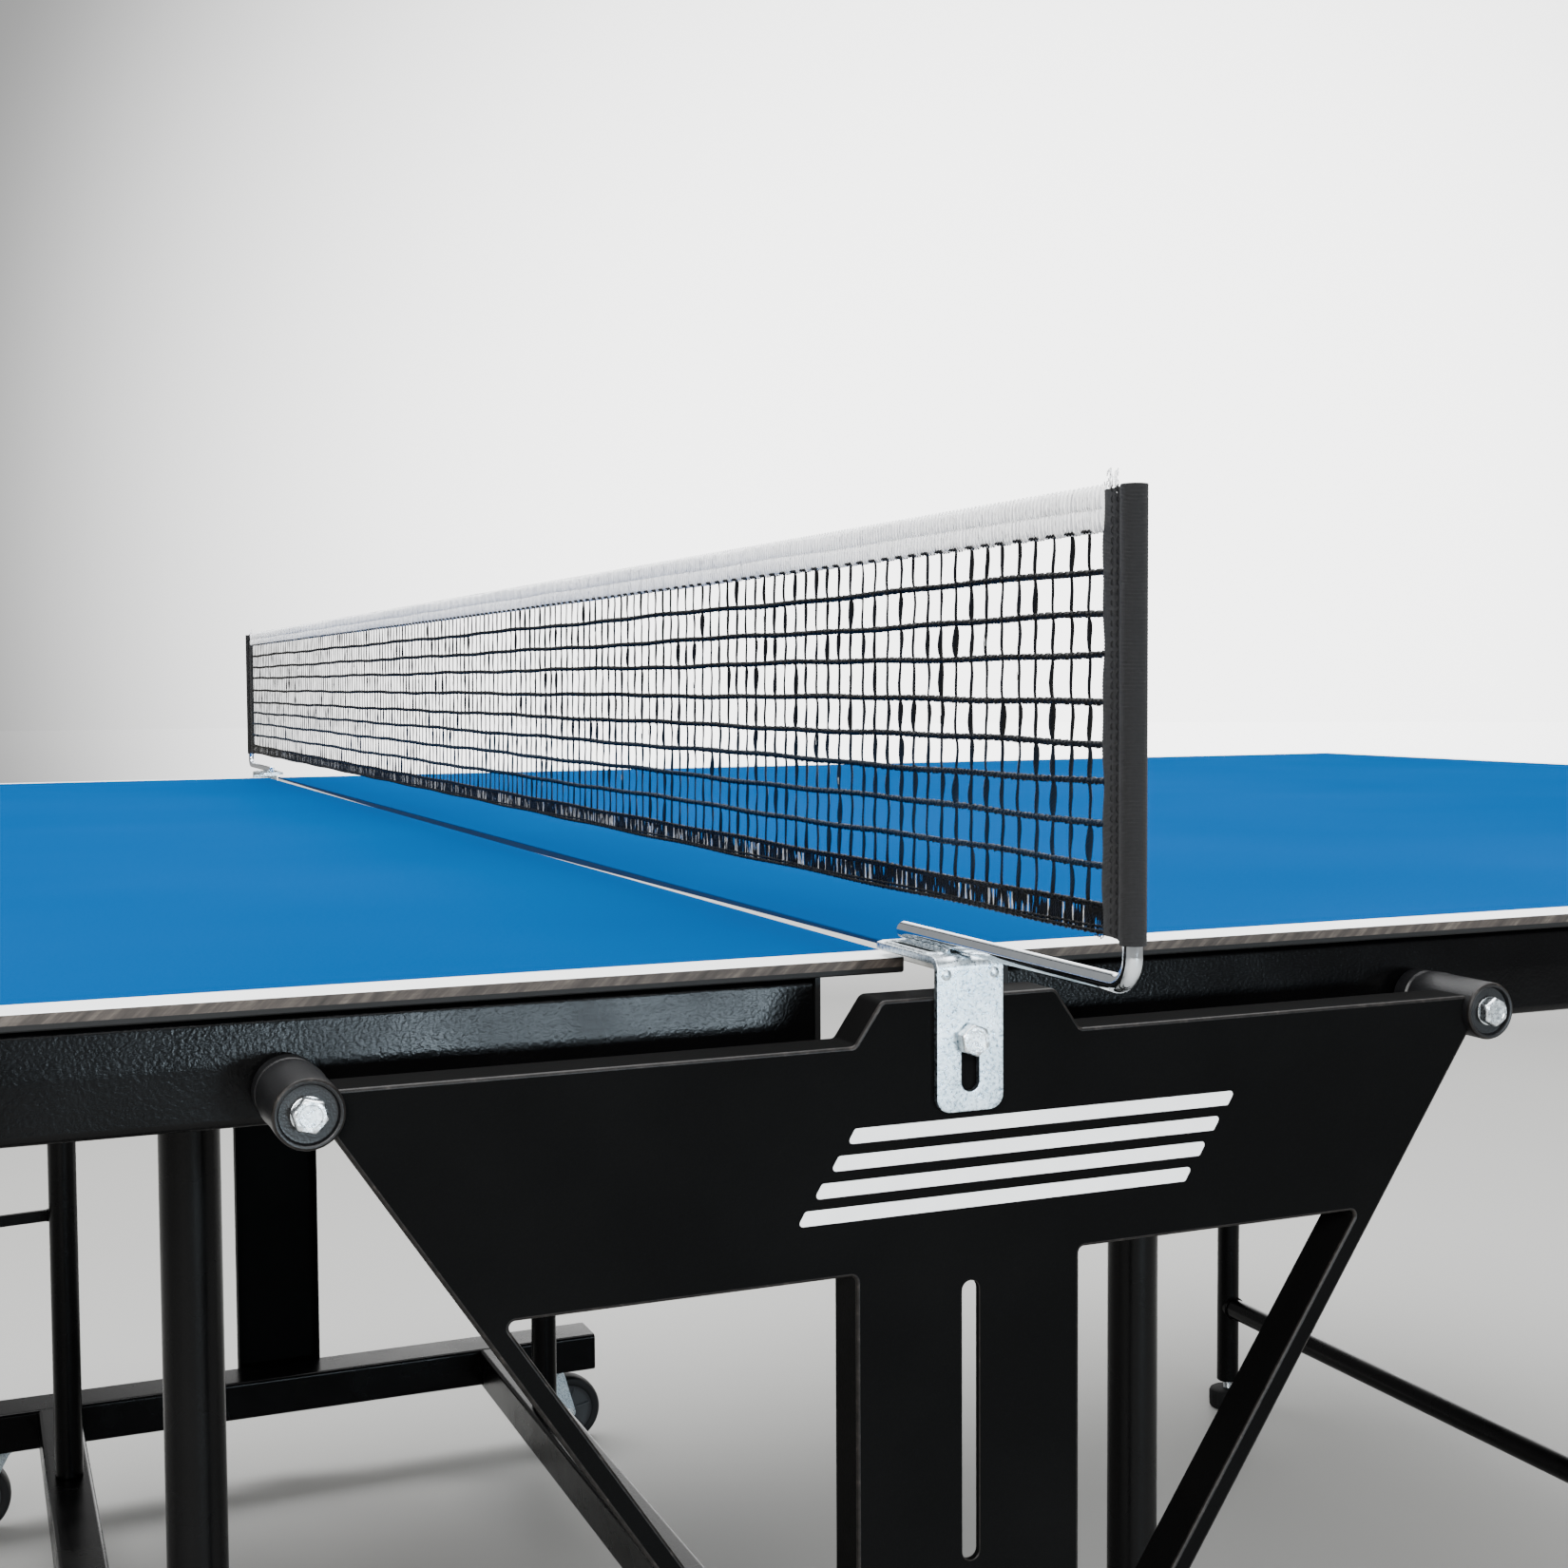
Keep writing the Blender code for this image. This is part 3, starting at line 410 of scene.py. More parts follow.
# ------------------------------------------------------------------ mesh building
def arc_corners(points, radii, steps=8):
    """A 2-D outline with each corner turned into an arc."""
    out = []
    count = len(points)
    for i in range(count):
        here = Vector(points[i])
        if radii[i] <= 0.0:
            out.append((here.x, here.y))
            continue
        u = (Vector(points[i - 1]) - here).normalized()
        v = (Vector(points[(i + 1) % count]) - here).normalized()
        half = math.acos(max(-1.0, min(1.0, u.dot(v)))) / 2
        reach = radii[i] / math.tan(half)
        centre = here + (u + v).normalized() * (radii[i] / math.sin(half))
        start = here + u * reach - centre
        end = here + v * reach - centre
        a0 = math.atan2(start.y, start.x)
        sweep = math.atan2(end.y, end.x) - a0
        sweep = (sweep + math.pi) % (2 * math.pi) - math.pi
        for k in range(steps + 1):
            a = a0 + sweep * k / steps
            out.append((centre.x + radii[i] * math.cos(a), centre.y + radii[i] * math.sin(a)))
    return out


def area2(points):
    total = 0.0
    for (x0, y0), (x1, y1) in zip(points, points[1:] + points[:1]):
        total += x0 * y1 - x1 * y0
    return total / 2


def inset(points, depth):
    """Move an outline inwards by depth, or outwards when depth is negative."""
    sign = 1.0 if area2(points) > 0 else -1.0
    out = []
    count = len(points)
    for i in range(count):
        p = Vector(points[i])
        a = (p - Vector(points[i - 1])).normalized()
        b = (Vector(points[(i + 1) % count]) - p).normalized()
        na = Vector((-a.y, a.x)) * sign
        nb = Vector((-b.y, b.x)) * sign
        n = (na + nb).normalized()
        scale = depth / max(0.35, n.dot(na))
        out.append((p.x + n.x * scale, p.y + n.y * scale))
    return out


def disc(cx, cy, r, seg=32, turn=0.0):
    return [
        (cx + r * math.cos(turn + 2 * math.pi * k / seg), cy + r * math.sin(turn + 2 * math.pi * k / seg))
        for k in range(seg)
    ]


def slot_outline(cx, low, high, r, steps=10):
    top = [(cx + r * math.cos(math.pi * k / steps), high + r * math.sin(math.pi * k / steps)) for k in range(steps + 1)]
    end = [(cx - r * math.cos(math.pi * k / steps), low - r * math.sin(math.pi * k / steps)) for k in range(steps + 1)]
    return top + end


class Build:
    """Collects geometry for one visual piece."""

    def __init__(self, *mats):
        self.bm = bmesh.new()
        self.mats = [M[m] for m in mats]

    def ring(self, points):
        return [self.bm.verts.new(p) for p in points]

    def bridge(self, a, b, mat=0):
        count = len(a)
        for i in range(count):
            j = (i + 1) % count
            face = self.bm.faces.new((a[i], a[j], b[j], b[i]))
            face.material_index = mat

    def cap(self, ring, mat=0):
        face = self.bm.faces.new(ring)
        face.material_index = mat

    def fill(self, rings, mat=0):
        """Fill the flat area between an outer ring and the rings of its holes."""
        edges = []
        for ring in rings:
            for a, b in zip(ring, ring[1:] + ring[:1]):
                edge = self.bm.edges.get((a, b)) or self.bm.edges.new((a, b))
                edges.append(edge)
        made = bmesh.ops.triangle_fill(self.bm, use_beauty=True, use_dissolve=False, edges=edges)
        for item in made["geom"]:
            if isinstance(item, bmesh.types.BMFace):
                item.material_index = mat

    def loft(self, rings, mat=0, closed=True, mats=None):
        loops = [self.ring(r) for r in rings]
        for i in range(len(loops) - 1):
            self.bridge(loops[i], loops[i + 1], mat if mats is None else mats[i])
        if closed:
            self.cap(list(reversed(loops[0])), mat if mats is None else mats[0])
            self.cap(loops[-1], mat if mats is None else mats[-1])
        return loops

    def slab(self, outline, put, lo, hi, bevel=0.0005, mat=0, steps=3, mats=None):
        """Extrude an outline with rounded rims. put(a, b, level) places a point."""
        rings = []
        kinds = []
        for k in range(steps + 1):
            t = math.pi / 2 * k / steps
            cut_in = bevel * (1 - math.sin(t))
            level = lo + bevel * (1 - math.cos(t))
            rings.append([put(a, b, level) for a, b in inset(outline, cut_in)])
            kinds.append("rim")
        for k in range(steps + 1):
            t = math.pi / 2 * (1 - k / steps)
            cut_in = bevel * (1 - math.sin(t))
            level = hi - bevel * (1 - math.cos(t))
            rings.append([put(a, b, level) for a, b in inset(outline, cut_in)])
        return self.loft(rings, mat, True, mats)

    def beam(self, lo, hi, radius=0.003, axis=0, rim=0.0006, mat=0, steps=5):
        """A bar of rounded rectangular section along an axis."""
        b, c = [i for i in range(3) if i != axis]
        outline = arc_corners(
            [(lo[b], lo[c]), (hi[b], lo[c]), (hi[b], hi[c]), (lo[b], hi[c])], [radius] * 4, steps
        )

        def put(p, q, level):
            co = [0.0, 0.0, 0.0]
            co[axis] = level
            co[b] = p
            co[c] = q
            return co

        return self.slab(outline, put, lo[axis], hi[axis], rim, mat, 2)

    def tube(self, path, radius, seg=24, mat=0, rim=0.0004, flat=1.0):
        """A round bar along a path; the ends are slightly rounded."""
        pts = [Vector(p) for p in path]
        tangents = []
        for i in range(len(pts)):
            a = pts[max(i - 1, 0)]
            b = pts[min(i + 1, len(pts) - 1)]
            tangents.append((b - a).normalized())
        side = tangents[0].orthogonal().normalized()
        rings = []

        def circle(centre, n, s, r):
            up = n.cross(s).normalized()
            return [
                centre + s * (r * math.cos(2 * math.pi * k / seg)) + up * (r * flat * math.sin(2 * math.pi * k / seg))
                for k in range(seg)
            ]

        for i, (p, n) in enumerate(zip(pts, tangents)):
            side = (side - n * side.dot(n)).normalized()
            if i == 0 and rim > 0:
                rings.append(circle(p, n, side, radius - rim))
                rings.append(circle(p + n * rim, n, side, radius))
            elif i == len(pts) - 1 and rim > 0:
                rings.append(circle(p - n * rim, n, side, radius))
                rings.append(circle(p, n, side, radius - rim))
            else:
                rings.append(circle(p, n, side, radius))
        return self.loft(rings, mat)

    def lathe(self, profile, centre, axis="y", seg=48, mat=0, mats=None, closed=True, sign=1.0):
        """Revolve (radius, height) pairs about an axis through centre."""
        rings = []
        for r, h in profile:
            ring = []
            for k in range(seg):
                a = 2 * math.pi * k / seg
                u = r * math.cos(a)
                v = r * math.sin(a)
                if axis == "y":
                    co = (centre[0] + u, centre[1] + h * sign, centre[2] + v)
                elif axis == "z":
                    co = (centre[0] + u, centre[1] + v, centre[2] + h * sign)
                else:
                    co = (centre[0] + h * sign, centre[1] + u, centre[2] + v)
                ring.append(co)
            rings.append(ring)
        return self.loft(rings, mat, closed, mats)

    def done(self, name, body, replaces=(), angle=34.0, recalc=True, shift_x=0.0):
        if shift_x:
            bmesh.ops.translate(self.bm, verts=self.bm.verts, vec=(shift_x, 0.0, 0.0))
        if recalc:
            bmesh.ops.recalc_face_normals(self.bm, faces=self.bm.faces)
        mesh = bpy.data.meshes.new(name)
        self.bm.to_mesh(mesh)
        self.bm.free()
        for mat in self.mats:
            mesh.materials.append(mat)
        mesh.shade_smooth()
        mesh.set_sharp_from_angle(angle=math.radians(angle))
        obj = bpy.data.objects.new(name, mesh)
        bpy.context.scene.collection.objects.link(obj)
        if len(mesh.polygons) < 40000:
            flat = obj.modifiers.new("flat_faces", "WEIGHTED_NORMAL")
            flat.keep_sharp = True
        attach(obj, body)
        if replaces:
            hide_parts(*replaces)
        return obj


def put_xz(sign):
    """Outlines in X and Z, extruded outwards along Y on the given side."""

    def put(a, b, level):
        return (a, sign * level, b)

    return put


def put_xy(a, b, level):
    return (a, b, level)


# ------------------------------------------------------------------ half tops
def board(tag, sign):
    lo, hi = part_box("board_" + tag)
    x_in = min(abs(lo[0]), abs(hi[0]))
    x_out = max(abs(lo[0]), abs(hi[0]))
    r = 0.004
    outline = arc_corners(
        [(sign * x_in, -HALF_W), (sign * x_out, -HALF_W), (sign * x_out, HALF_W), (sign * x_in, HALF_W)],
        [0.0016, r, r, 0.0016],
        6,
    )
    if sign < 0:
        outline = list(reversed(outline))
    piece = Build("blue", "line", "edge", "gap", "back")
    line = 0.020
    top = TOP_Z
    inner = [
        (sign * x_in, -HALF_W + line),
        (sign * (x_out - line), -HALF_W + line),
        (sign * (x_out - line), HALF_W - line),
        (sign * x_in, HALF_W - line),
    ]
    bevel = 0.0005
    rings = []
    for cut_in, level in ((bevel, top), (bevel * 0.3, top - bevel * 0.3), (0.0, top - bevel), (0.0, top - BOARD_T + bevel), (bevel, top - BOARD_T)):
        rings.append(piece.ring([(a, b, level) for a, b in inset(outline, cut_in)]))
    for i in range(4):
        piece.bridge(rings[i], rings[i + 1], 1 if i == 0 else 2)
    piece.fill([rings[0]], 1)
    piece.fill([rings[4]], 4)
    for face in piece.bm.faces:
        mid = face.calc_center_median()
        if abs(mid.x) < x_in + 0.0005 and mid.z > top - 0.0006:
            face.material_index = 0
        elif abs(mid.x) < x_in + 0.0004:
            face.material_index = 3
    lift = 0.00006
    inner = [(sign * (x_in + 0.0003) if abs(a) < x_in + 0.001 else a, b) for a, b in inner]
    low_ring = piece.ring([(a, b, top - 0.0001) for a, b in inner])
    high_ring = piece.ring([(a, b, top + lift) for a, b in inset(inner, 0.00008)])
    piece.bridge(low_ring, high_ring, 0)
    piece.fill([high_ring], 0)
    piece.cap(low_ring, 0)
    return piece.done("playing_top_" + tag, "half_" + tag, ("board_" + tag,))


def half_frame(tag, sign):
    top = TOP_Z - BOARD_T - 0.0003
    low = top - 0.0357
    y_out = HALF_W - 0.0055
    x_end = 1.362
    piece = Build("powder", "wear_and_painted_highlight")
    x0 = 0.0386

    def span(a, b):
        return (min(sign * a, sign * b), max(sign * a, sign * b))

    for s in (-1, 1):
        xa, xb = span(x0, x_end)
        section = arc_corners(
            [
                (s * y_out, low), (s * y_out, low + 0.0200), (s * (y_out - 0.0013), top),
                (s * (y_out - 0.025), top), (s * (y_out - 0.025), low),
            ],
            [0.0035, 0.030, 0.0035, 0.0030, 0.0030],
            6,
        )
        piece.slab(section, lambda a, b, level: (level, a, b), xa, xb, 0.0005)
    for centre, width, height in ((0.100, 0.030, 0.014), (0.240, 0.030, 0.0357), (0.640, 0.030, 0.0357), (1.060, 0.030, 0.0357), (1.3495, 0.025, 0.0357)):
        xa, xb = span(centre - width / 2, centre + width / 2)
        piece.beam((xa, -y_out + 0.0125, top - height + 0.0003), (xb, y_out - 0.0125, top - 0.0003), 0.0028, 1, 0.0005)
    for s in (-1, 1):
        for inner in (-1, 1):
            ya = s * 0.545 + inner * 0.0135
            yb = ya + inner * 0.004
            outline = arc_corners(
                [(sign * 1.046, low + 0.001), (sign * 1.074, low + 0.001), (sign * 1.071, 0.6895), (sign * 1.049, 0.6895)],
                [0, 0, 0.008, 0.008],
            )
            piece.slab(outline, put_xz(1), min(ya, yb), max(ya, yb), 0.0004)
        for x in (0.240, 0.640, 1.060):
            weld = [(sign * (x + d), s * (y_out - 0.0255), low + 0.0006) for d in (-0.013, -0.006, 0.0, 0.006, 0.013)]
            piece.tube(weld, 0.0012, 8, 0, 0.0)
    return piece.done("rail_frame_" + tag, "half_" + tag, ("half_frame_" + tag,))


# ------------------------------------------------------------------ side plates
def plate_outline():
    slope = 0.670
    diag_low = 0.7220 + (0.0426 - 0.2130) / slope
    right = [
        (0.0330, 0.7515), (0.0430, 0.7370), (0.2225, 0.7370), (0.0426, diag_low), (0.0426, 0.0900),
    ]
    pts = right + [(-x, z) for x, z in reversed(right)]
    radii = [0.0032, 0.0022, 0.0030, 0.012, 0.006]
    return arc_corners(pts, radii + radii[::-1], 7)


def window_outline(side):
    pts = [(side * 0.0426, 0.6603), (side * 0.1623, 0.6603), (side * 0.0426, 0.4815)]
    return arc_corners(pts, [0.0022, 0.0020, 0.0060], 6)


def side_plate(tag, sign):
    """Front sheet, rolled rims, return flanges and the two pivot bosses."""
    piece = Build("cover", "wear_and_painted_highlight", "boss")
    put = put_xz(sign)
    front = PLATE_Y
    back = PLATE_Y - PLATE_DEPTH
    r = 0.0011
    outer = plate_outline()
    windows = [window_outline(-1), window_outline(1)]
    slit = slot_outline(0.0, 0.5600, 0.65055, 0.00325)
    bolt = disc(0.0, BRACKET_BOLT_Z, 0.0031, 24)
    front_rings = []
    inner_rings = []
    for outline, turn in ((outer, 1.0), (windows[0], -1.0), (windows[1], -1.0)):
        rings = []
        mats = []
        for k in range(5):
            t = math.pi / 2 * k / 4
            rings.append((turn * r * (1 - math.sin(t)), front - r * (1 - math.cos(t))))
            mats.append(1)
        rings += [(0.0, back + 0.0006), (turn * 0.0006, back), (turn * (PLATE_T - 0.0005), back)]
        rings += [(turn * PLATE_T, back + 0.0005), (turn * PLATE_T, front - PLATE_T)]
        # The rolled front rims take the lighter rim material: a painted highlight with scuffed wear.
        mats = [1, 1, 1, 1, 0, 0, 0, 0, 0]
        loops = [piece.ring([put(a, b, level) for a, b in inset(outline, d)]) for d, level in rings]
        for i in range(len(loops) - 1):
            piece.bridge(loops[i], loops[i + 1], mats[i])
        front_rings.append(loops[0])
        inner_rings.append(loops[-1])
    for outline in (slit, bolt):
        rim = 0.0003
        rings = [(-rim, front), (0.0, front - rim), (0.0, front - PLATE_T)]
        loops = [piece.ring([put(a, b, level) for a, b in inset(outline, d)]) for d, level in rings]
        # The front rim of the slit and the bolt hole gets the same painted rim highlight.
        for i in range(len(loops) - 1):
            piece.bridge(loops[i], loops[i + 1], 1 if i == 0 else 0)
        front_rings.append(loops[0])
        inner_rings.append(loops[-1])
    piece.fill(front_rings, 0)
    piece.fill(inner_rings, 0)
    for side in (-1, 1):
        cx = side * PIVOT_X
        profile = [
            (0.0031, -0.0435), (0.0095, -0.0435), (0.0108, -0.0425), (0.0108, -0.0365), (0.0101, -0.0358),
            (0.0101, -0.0342), (0.0109, -0.0334), (0.0112, -0.0280), (0.0109, -0.0230), (0.0109, -0.0012),
            (0.0106, -0.0004), (0.0100, 0.0), (0.0096, 0.0), (0.0092, -0.0002), (0.0089, -0.0007), (0.0087, -0.0018),
            (0.0080, -0.0019), (0.0031, -0.0019),
        ]
        mats = [2] * len(profile)
        # Two rings on the boss's front rim get the same painted rim highlight.
        for k in (9, 10):
            mats[k] = 1
        loops = piece.lathe(profile, (cx, sign * 0.8035, PIVOT_Z), "y", 56, 2, mats, False, sign)
        piece.bridge(loops[-1], loops[0], 2)
    return piece.done("cover_plate_" + tag, "chassis", ("side_plate_" + tag,), angle=30)


def hex_head(piece, cx, y, cz, sign, flats=0.010, height=0.004, turn=0.0, mat=0, mat_top=0):
    """A forged hexagon head: chamfered corners, a washer face and a shallow dished top."""
    seg = 48
    rings = []
    for r_scale, h, round_it in (
        (0.90, 0.0, 1.0), (0.96, 0.0003, 1.0), (1.0, 0.0005, 0.0), (1.0, height - 0.0011, 0.0),
        (0.97, height - 0.0004, 0.35), (0.90, height, 0.9), (0.72, height, 1.0), (0.66, height - 0.0003, 1.0),
        (0.30, height - 0.00035, 1.0),
    ):
        ring = []
        for k in range(seg):
            a = 2 * math.pi * k / seg
            local = (a - turn + math.pi / 6) % (math.pi / 3) - math.pi / 6
            hexed = flats / 2 / math.cos(local)
            r = (hexed * (1 - round_it) + flats / 2 * round_it) * r_scale
            ring.append((cx + r * math.cos(a), y + sign * h, cz + r * math.sin(a)))
        rings.append(ring)
    piece.loft(rings, mat)


def washer(piece, cx, y, cz, sign, r, t, mat=0):
    profile = [(r * 0.3, 0.0), (r - 0.0003, 0.0), (r, 0.0003), (r, t - 0.0002), (r - 0.0003, t), (r * 0.3, t)]
    piece.lathe(profile, (cx, y, cz), "y", 48, mat, None, True, sign)


def pivot_bolt(side_tag, side, tag, sign):
    cx = side * PIVOT_X
    seat = 0.8026
    piece = Build("bolt")
    piece.tube([(cx, sign * 0.727, PIVOT_Z), (cx, sign * 0.764, PIVOT_Z), (cx, sign * (seat - 0.0002), PIVOT_Z)], 0.003, 28)
    washer(piece, cx, sign * (seat - 0.0009), PIVOT_Z, sign, 0.0054, 0.0009)
    turn = {("left", "near"): 0.28, ("right", "near"): 0.05}.get((side_tag, tag), 0.4)
    hex_head(piece, cx, sign * seat, PIVOT_Z, sign, 0.010, 0.0040, turn)
    name = f"pivot_screw_{side_tag}_{tag}"
    return piece.done(name, "chassis", (f"pivot_bolt_{side_tag}_{tag}",))


# ------------------------------------------------------------------ net fittings
def strap(tag, sign):
    """Slotted L strap with two pressed slots in its tongue."""
    piece = Build("zinc")
    t = 0.0025
    half = 0.0126
    y_front = 0.8028
    z_top = 0.7650
    low = 0.7125
    r_out = 0.0040
    rim = 0.0004
    outline = arc_corners([(-half, low), (half, low), (half, z_top - r_out), (-half, z_top - r_out)], [0.0052, 0.0052, 0, 0], 8)
    slot = slot_outline(0.0, BRACKET_BOLT_Z - 0.0145, BRACKET_BOLT_Z + 0.0002, 0.0033)
    put = put_xz(sign)
    front_rings = []
    back_rings = []
    for shape, turn in ((outline, 1.0), (slot, -1.0)):
        rings = [(rim, y_front), (rim * 0.3, y_front - rim * 0.3), (0.0, y_front - rim), (0.0, y_front - t + rim), (rim, y_front - t)]
        loops = []
        for d, level in rings:
            moved = inset(shape, turn * d)
            moved = [(a, z_top - r_out if turn > 0 and b > z_top - r_out - 0.0006 else b) for a, b in moved]
            loops.append(piece.ring([put(a, b, level) for a, b in moved]))
        for i in range(4):
            piece.bridge(loops[i], loops[i + 1])
        front_rings.append(loops[0])
        back_rings.append(loops[-1])
    piece.fill(front_rings)
    piece.fill(back_rings)
    section = arc_corners([(-half, -t), (half, -t), (half, 0.0), (-half, 0.0)], [rim] * 4, 3)
    rings = []
    for k in range(11):
        a = math.pi / 2 * k / 10
        ring = []
        for u, v in section:
            radius = r_out + v
            y = y_front - r_out + radius * math.cos(a)
            z = z_top - r_out + radius * math.sin(a)
            ring.append((u, sign * y, z))
        rings.append(ring)
    tip = 0.752
    length = y_front - r_out - tip
    for k in range(1, 15):
        f = k / 14
        y = y_front - r_out - length * f
        shrink = 1.0
        if f > 0.9:
            shrink = 1.0 - 0.34 * ((f - 0.9) / 0.1) ** 2
        rings.append([(u * shrink, sign * y, z_top + v) for u, v in section])
    piece.loft(rings)
    for cx in (-0.0073, 0.0073):
        base = slot_outline(cx, 0.7605, 0.7905, 0.0031, 8)
        rings = []
        for d, z in ((-0.0012, 0.0), (-0.0004, 0.00045), (0.0003, 0.0007), (0.0009, 0.00055), (0.0013, -0.0001), (0.0018, -0.0007)):
            rings.append([(a, sign * b, z_top + z) for a, b in inset(base, d)])
        piece.loft(rings, 0, True)
    for cx in (-0.0090, 0.0090):
        piece.lathe([(0.0008, 0.0005), (0.0018, 0.0001), (0.0022, -0.0002)], (cx, sign * y_front, 0.7590), "y", 16, 0, None, True, sign)
    return piece.done("slotted_strap_" + tag, "net_set", ("net_bracket_" + tag,), angle=40, shift_x=NET_X)


def strap_bolt(tag, sign):
    piece = Build("bolt")
    seat = 0.8031
    piece.tube([(0, sign * 0.786, BRACKET_BOLT_Z), (0, sign * 0.795, BRACKET_BOLT_Z), (0, sign * seat, BRACKET_BOLT_Z)], 0.003, 28)
    hex_head(piece, 0.0, sign * seat, BRACKET_BOLT_Z, sign, 0.010, 0.0042, 0.16)
    nut = disc(0.0, 0.0, 0.0057, 6)
    piece.slab([(a, BRACKET_BOLT_Z + b) for a, b in nut], put_xz(sign), 0.7915, 0.7970, 0.0004)
    return piece.done("strap_screw_" + tag, "chassis", ("bracket_bolt_" + tag,), shift_x=NET_X)


def net_rod(tag, sign):
    z = 0.7683
    bend = 0.009
    path = [(0.0, sign * y, z) for y in (0.752, 0.780, 0.810, 0.840, 0.870)]
    for k in range(17):
        a = math.pi / 2 * k / 16
        path.append((0.0, sign * (POST_Y - bend + bend * math.sin(a)), z + bend - bend * math.cos(a)))
    path += [(0.0, sign * POST_Y, h) for h in (0.80, 0.84, 0.88, NET_TOP - 0.0025)]
    piece = Build("bright", "zinc")
    piece.tube(path, 0.003, 40, 0, 0.0005)
    for s in (-1, 1):
        weld = [(s * 0.0026, sign * y, 0.7655 + 0.0002 * math.sin(y * 2100)) for y in [0.760 + 0.002 * k for k in range(17)]]
        piece.tube(weld, 0.0009, 10, 1, 0.0003)
    return piece.done("net_bar_" + tag, "net_set", ("net_rod_" + tag,), shift_x=NET_X)


def sleeve(tag, sign):
    """Woven sleeve: a round pocket for the bar and a stitched flat hem."""
    piece = Build("sleeve")
    low = 0.7805
    high = NET_TOP + 0.0005
    r = 0.0040
    section = []
    start = math.radians(158)
    for k in range(29):
        a = -start + 2 * start * k / 28
        section.append((r * math.sin(a), r * math.cos(a), "bulge"))
    hem_len = POST_Y - HEM_Y
    hem = []
    for k in range(11):
        f = k / 10
        y = -(r * 0.93) - (hem_len - r * 0.93) * f
        half = 0.00105
        for groove in (0.0072, 0.0102):
            half -= 0.00045 * math.exp(-(((-y) - groove) / 0.0005) ** 2)
        half *= 1.0 if f < 1 else 0.6
        hem.append((y, half))
    outline = [(u, v) for u, v, _ in section]
    plus = [(half, y) for y, half in hem]
    minus = [(-half, y) for y, half in reversed(hem)]
    outline = outline + plus + minus
    steps = 264
    rings = []
    for i in range(steps + 1):
        f = i / steps
        z = low + (high - low) * f
        rib = 0.00005 * math.sin(i * math.pi)
        rib = 0.00006 if i % 2 else -0.00003
        ring = []
        for u, v in outline:
            wob = 0.00022 * math.sin(f * 19.0 + v * 300.0) * max(0.0, min(1.0, (-v - 0.004) / 0.008))
            edge = max(0.0, (-v - 0.0125) / 0.003)
            dip = -0.0003 * max(0.0, min(1.0, (-v - 0.003) / 0.006)) * (f ** 8)
            droop = 0.0012 * max(0.0, min(1.0, (-v - 0.003) / 0.006)) * ((1 - f) ** 10)
            scale = 1.0 + rib / r
            ring.append((u * scale + wob, sign * (POST_Y + v * scale + edge * 0.0003 * math.sin(f * 41.0)), z + dip + droop))
        rings.append(ring)
    loops = [piece.ring(ring) for ring in rings]
    for i in range(len(loops) - 1):
        piece.bridge(loops[i], loops[i + 1])
    for end, direction in ((loops[-1], -1), (loops[0], 1)):
        rim = []
        deep = []
        for vert in end:
            du = vert.co.x
            dv = vert.co.y - sign * POST_Y
            dist = math.hypot(du, dv)
            k = 0.82 if dist < r * 1.1 else 1.0
            x = du * (k if dist < r * 1.1 else 0.25)
            rim.append((x, sign * POST_Y + dv * k, vert.co.z + direction * 0.0002))
            deep.append((x, sign * POST_Y + dv * k, vert.co.z + direction * 0.005))
        a = piece.ring(rim)
        b = piece.ring(deep)
        piece.bridge(end, a)
        piece.bridge(a, b)
        piece.cap(b)
    for groove in (0.0072, 0.0102):
        for face in (-1, 1):
            for k in range(44):
                z0 = low + 0.002 + k * 0.003
                y0 = sign * (POST_Y - groove)
                pts = [(face * 0.00075, y0, z0), (face * 0.0013, y0, z0 + 0.0007), (face * 0.0013, y0, z0 + 0.0014), (face * 0.00075, y0, z0 + 0.0021)]
                piece.tube(pts, 0.00022, 6, 0, 0.0)
    piece_obj = piece.done("post_sleeve_" + tag, "net_set", ("net_sleeve_" + tag,), angle=50, shift_x=NET_X)
    return piece_obj


# ------------------------------------------------------------------ net
ROWS = [0.8023, 0.8148, 0.8267, 0.8382, 0.8510, 0.8646, 0.8764, 0.8890]
TAPE_LOW = 0.9008
TAPE_TOP = 0.9137
NET_X = -0.0015
STRAND_GAP = 0.01066


def twisted(piece, y0, y1, z_at, radius, pitch, step, mat=0, seg=6, x=0.0):
    """A knobbly cord of two strands: an oval section that turns along its length."""
    count = max(2, int(abs(y1 - y0) / step))
    rings = []
    seed = RNG.uniform(0.0, 9.0)
    for i in range(count + 1):
        y = y0 + (y1 - y0) * i / count
        z = z_at(y) + 0.00012 * math.sin(y * 1710.0 + seed)
        turn = 2 * math.pi * y / pitch
        knob = 0.16 * math.sin(y * 2 * math.pi / 0.0023 + seed) + 0.12 * math.sin(y * 2 * math.pi / 0.0037)
        ring = []
        for k in range(seg):
            a = 2 * math.pi * k / seg
            r = radius * (1.0 + knob + 0.16 * math.cos(2 * (a - turn)))
            ring.append((x + r * math.cos(a), y, z + r * math.sin(a)))
        rings.append(ring)
    piece.loft(rings, mat)


def strand_places():
    reach = HEM_Y - 0.0085
    count = int(round(2 * reach / STRAND_GAP))
    return [-reach + 2 * reach * k / count for k in range(count + 1)]


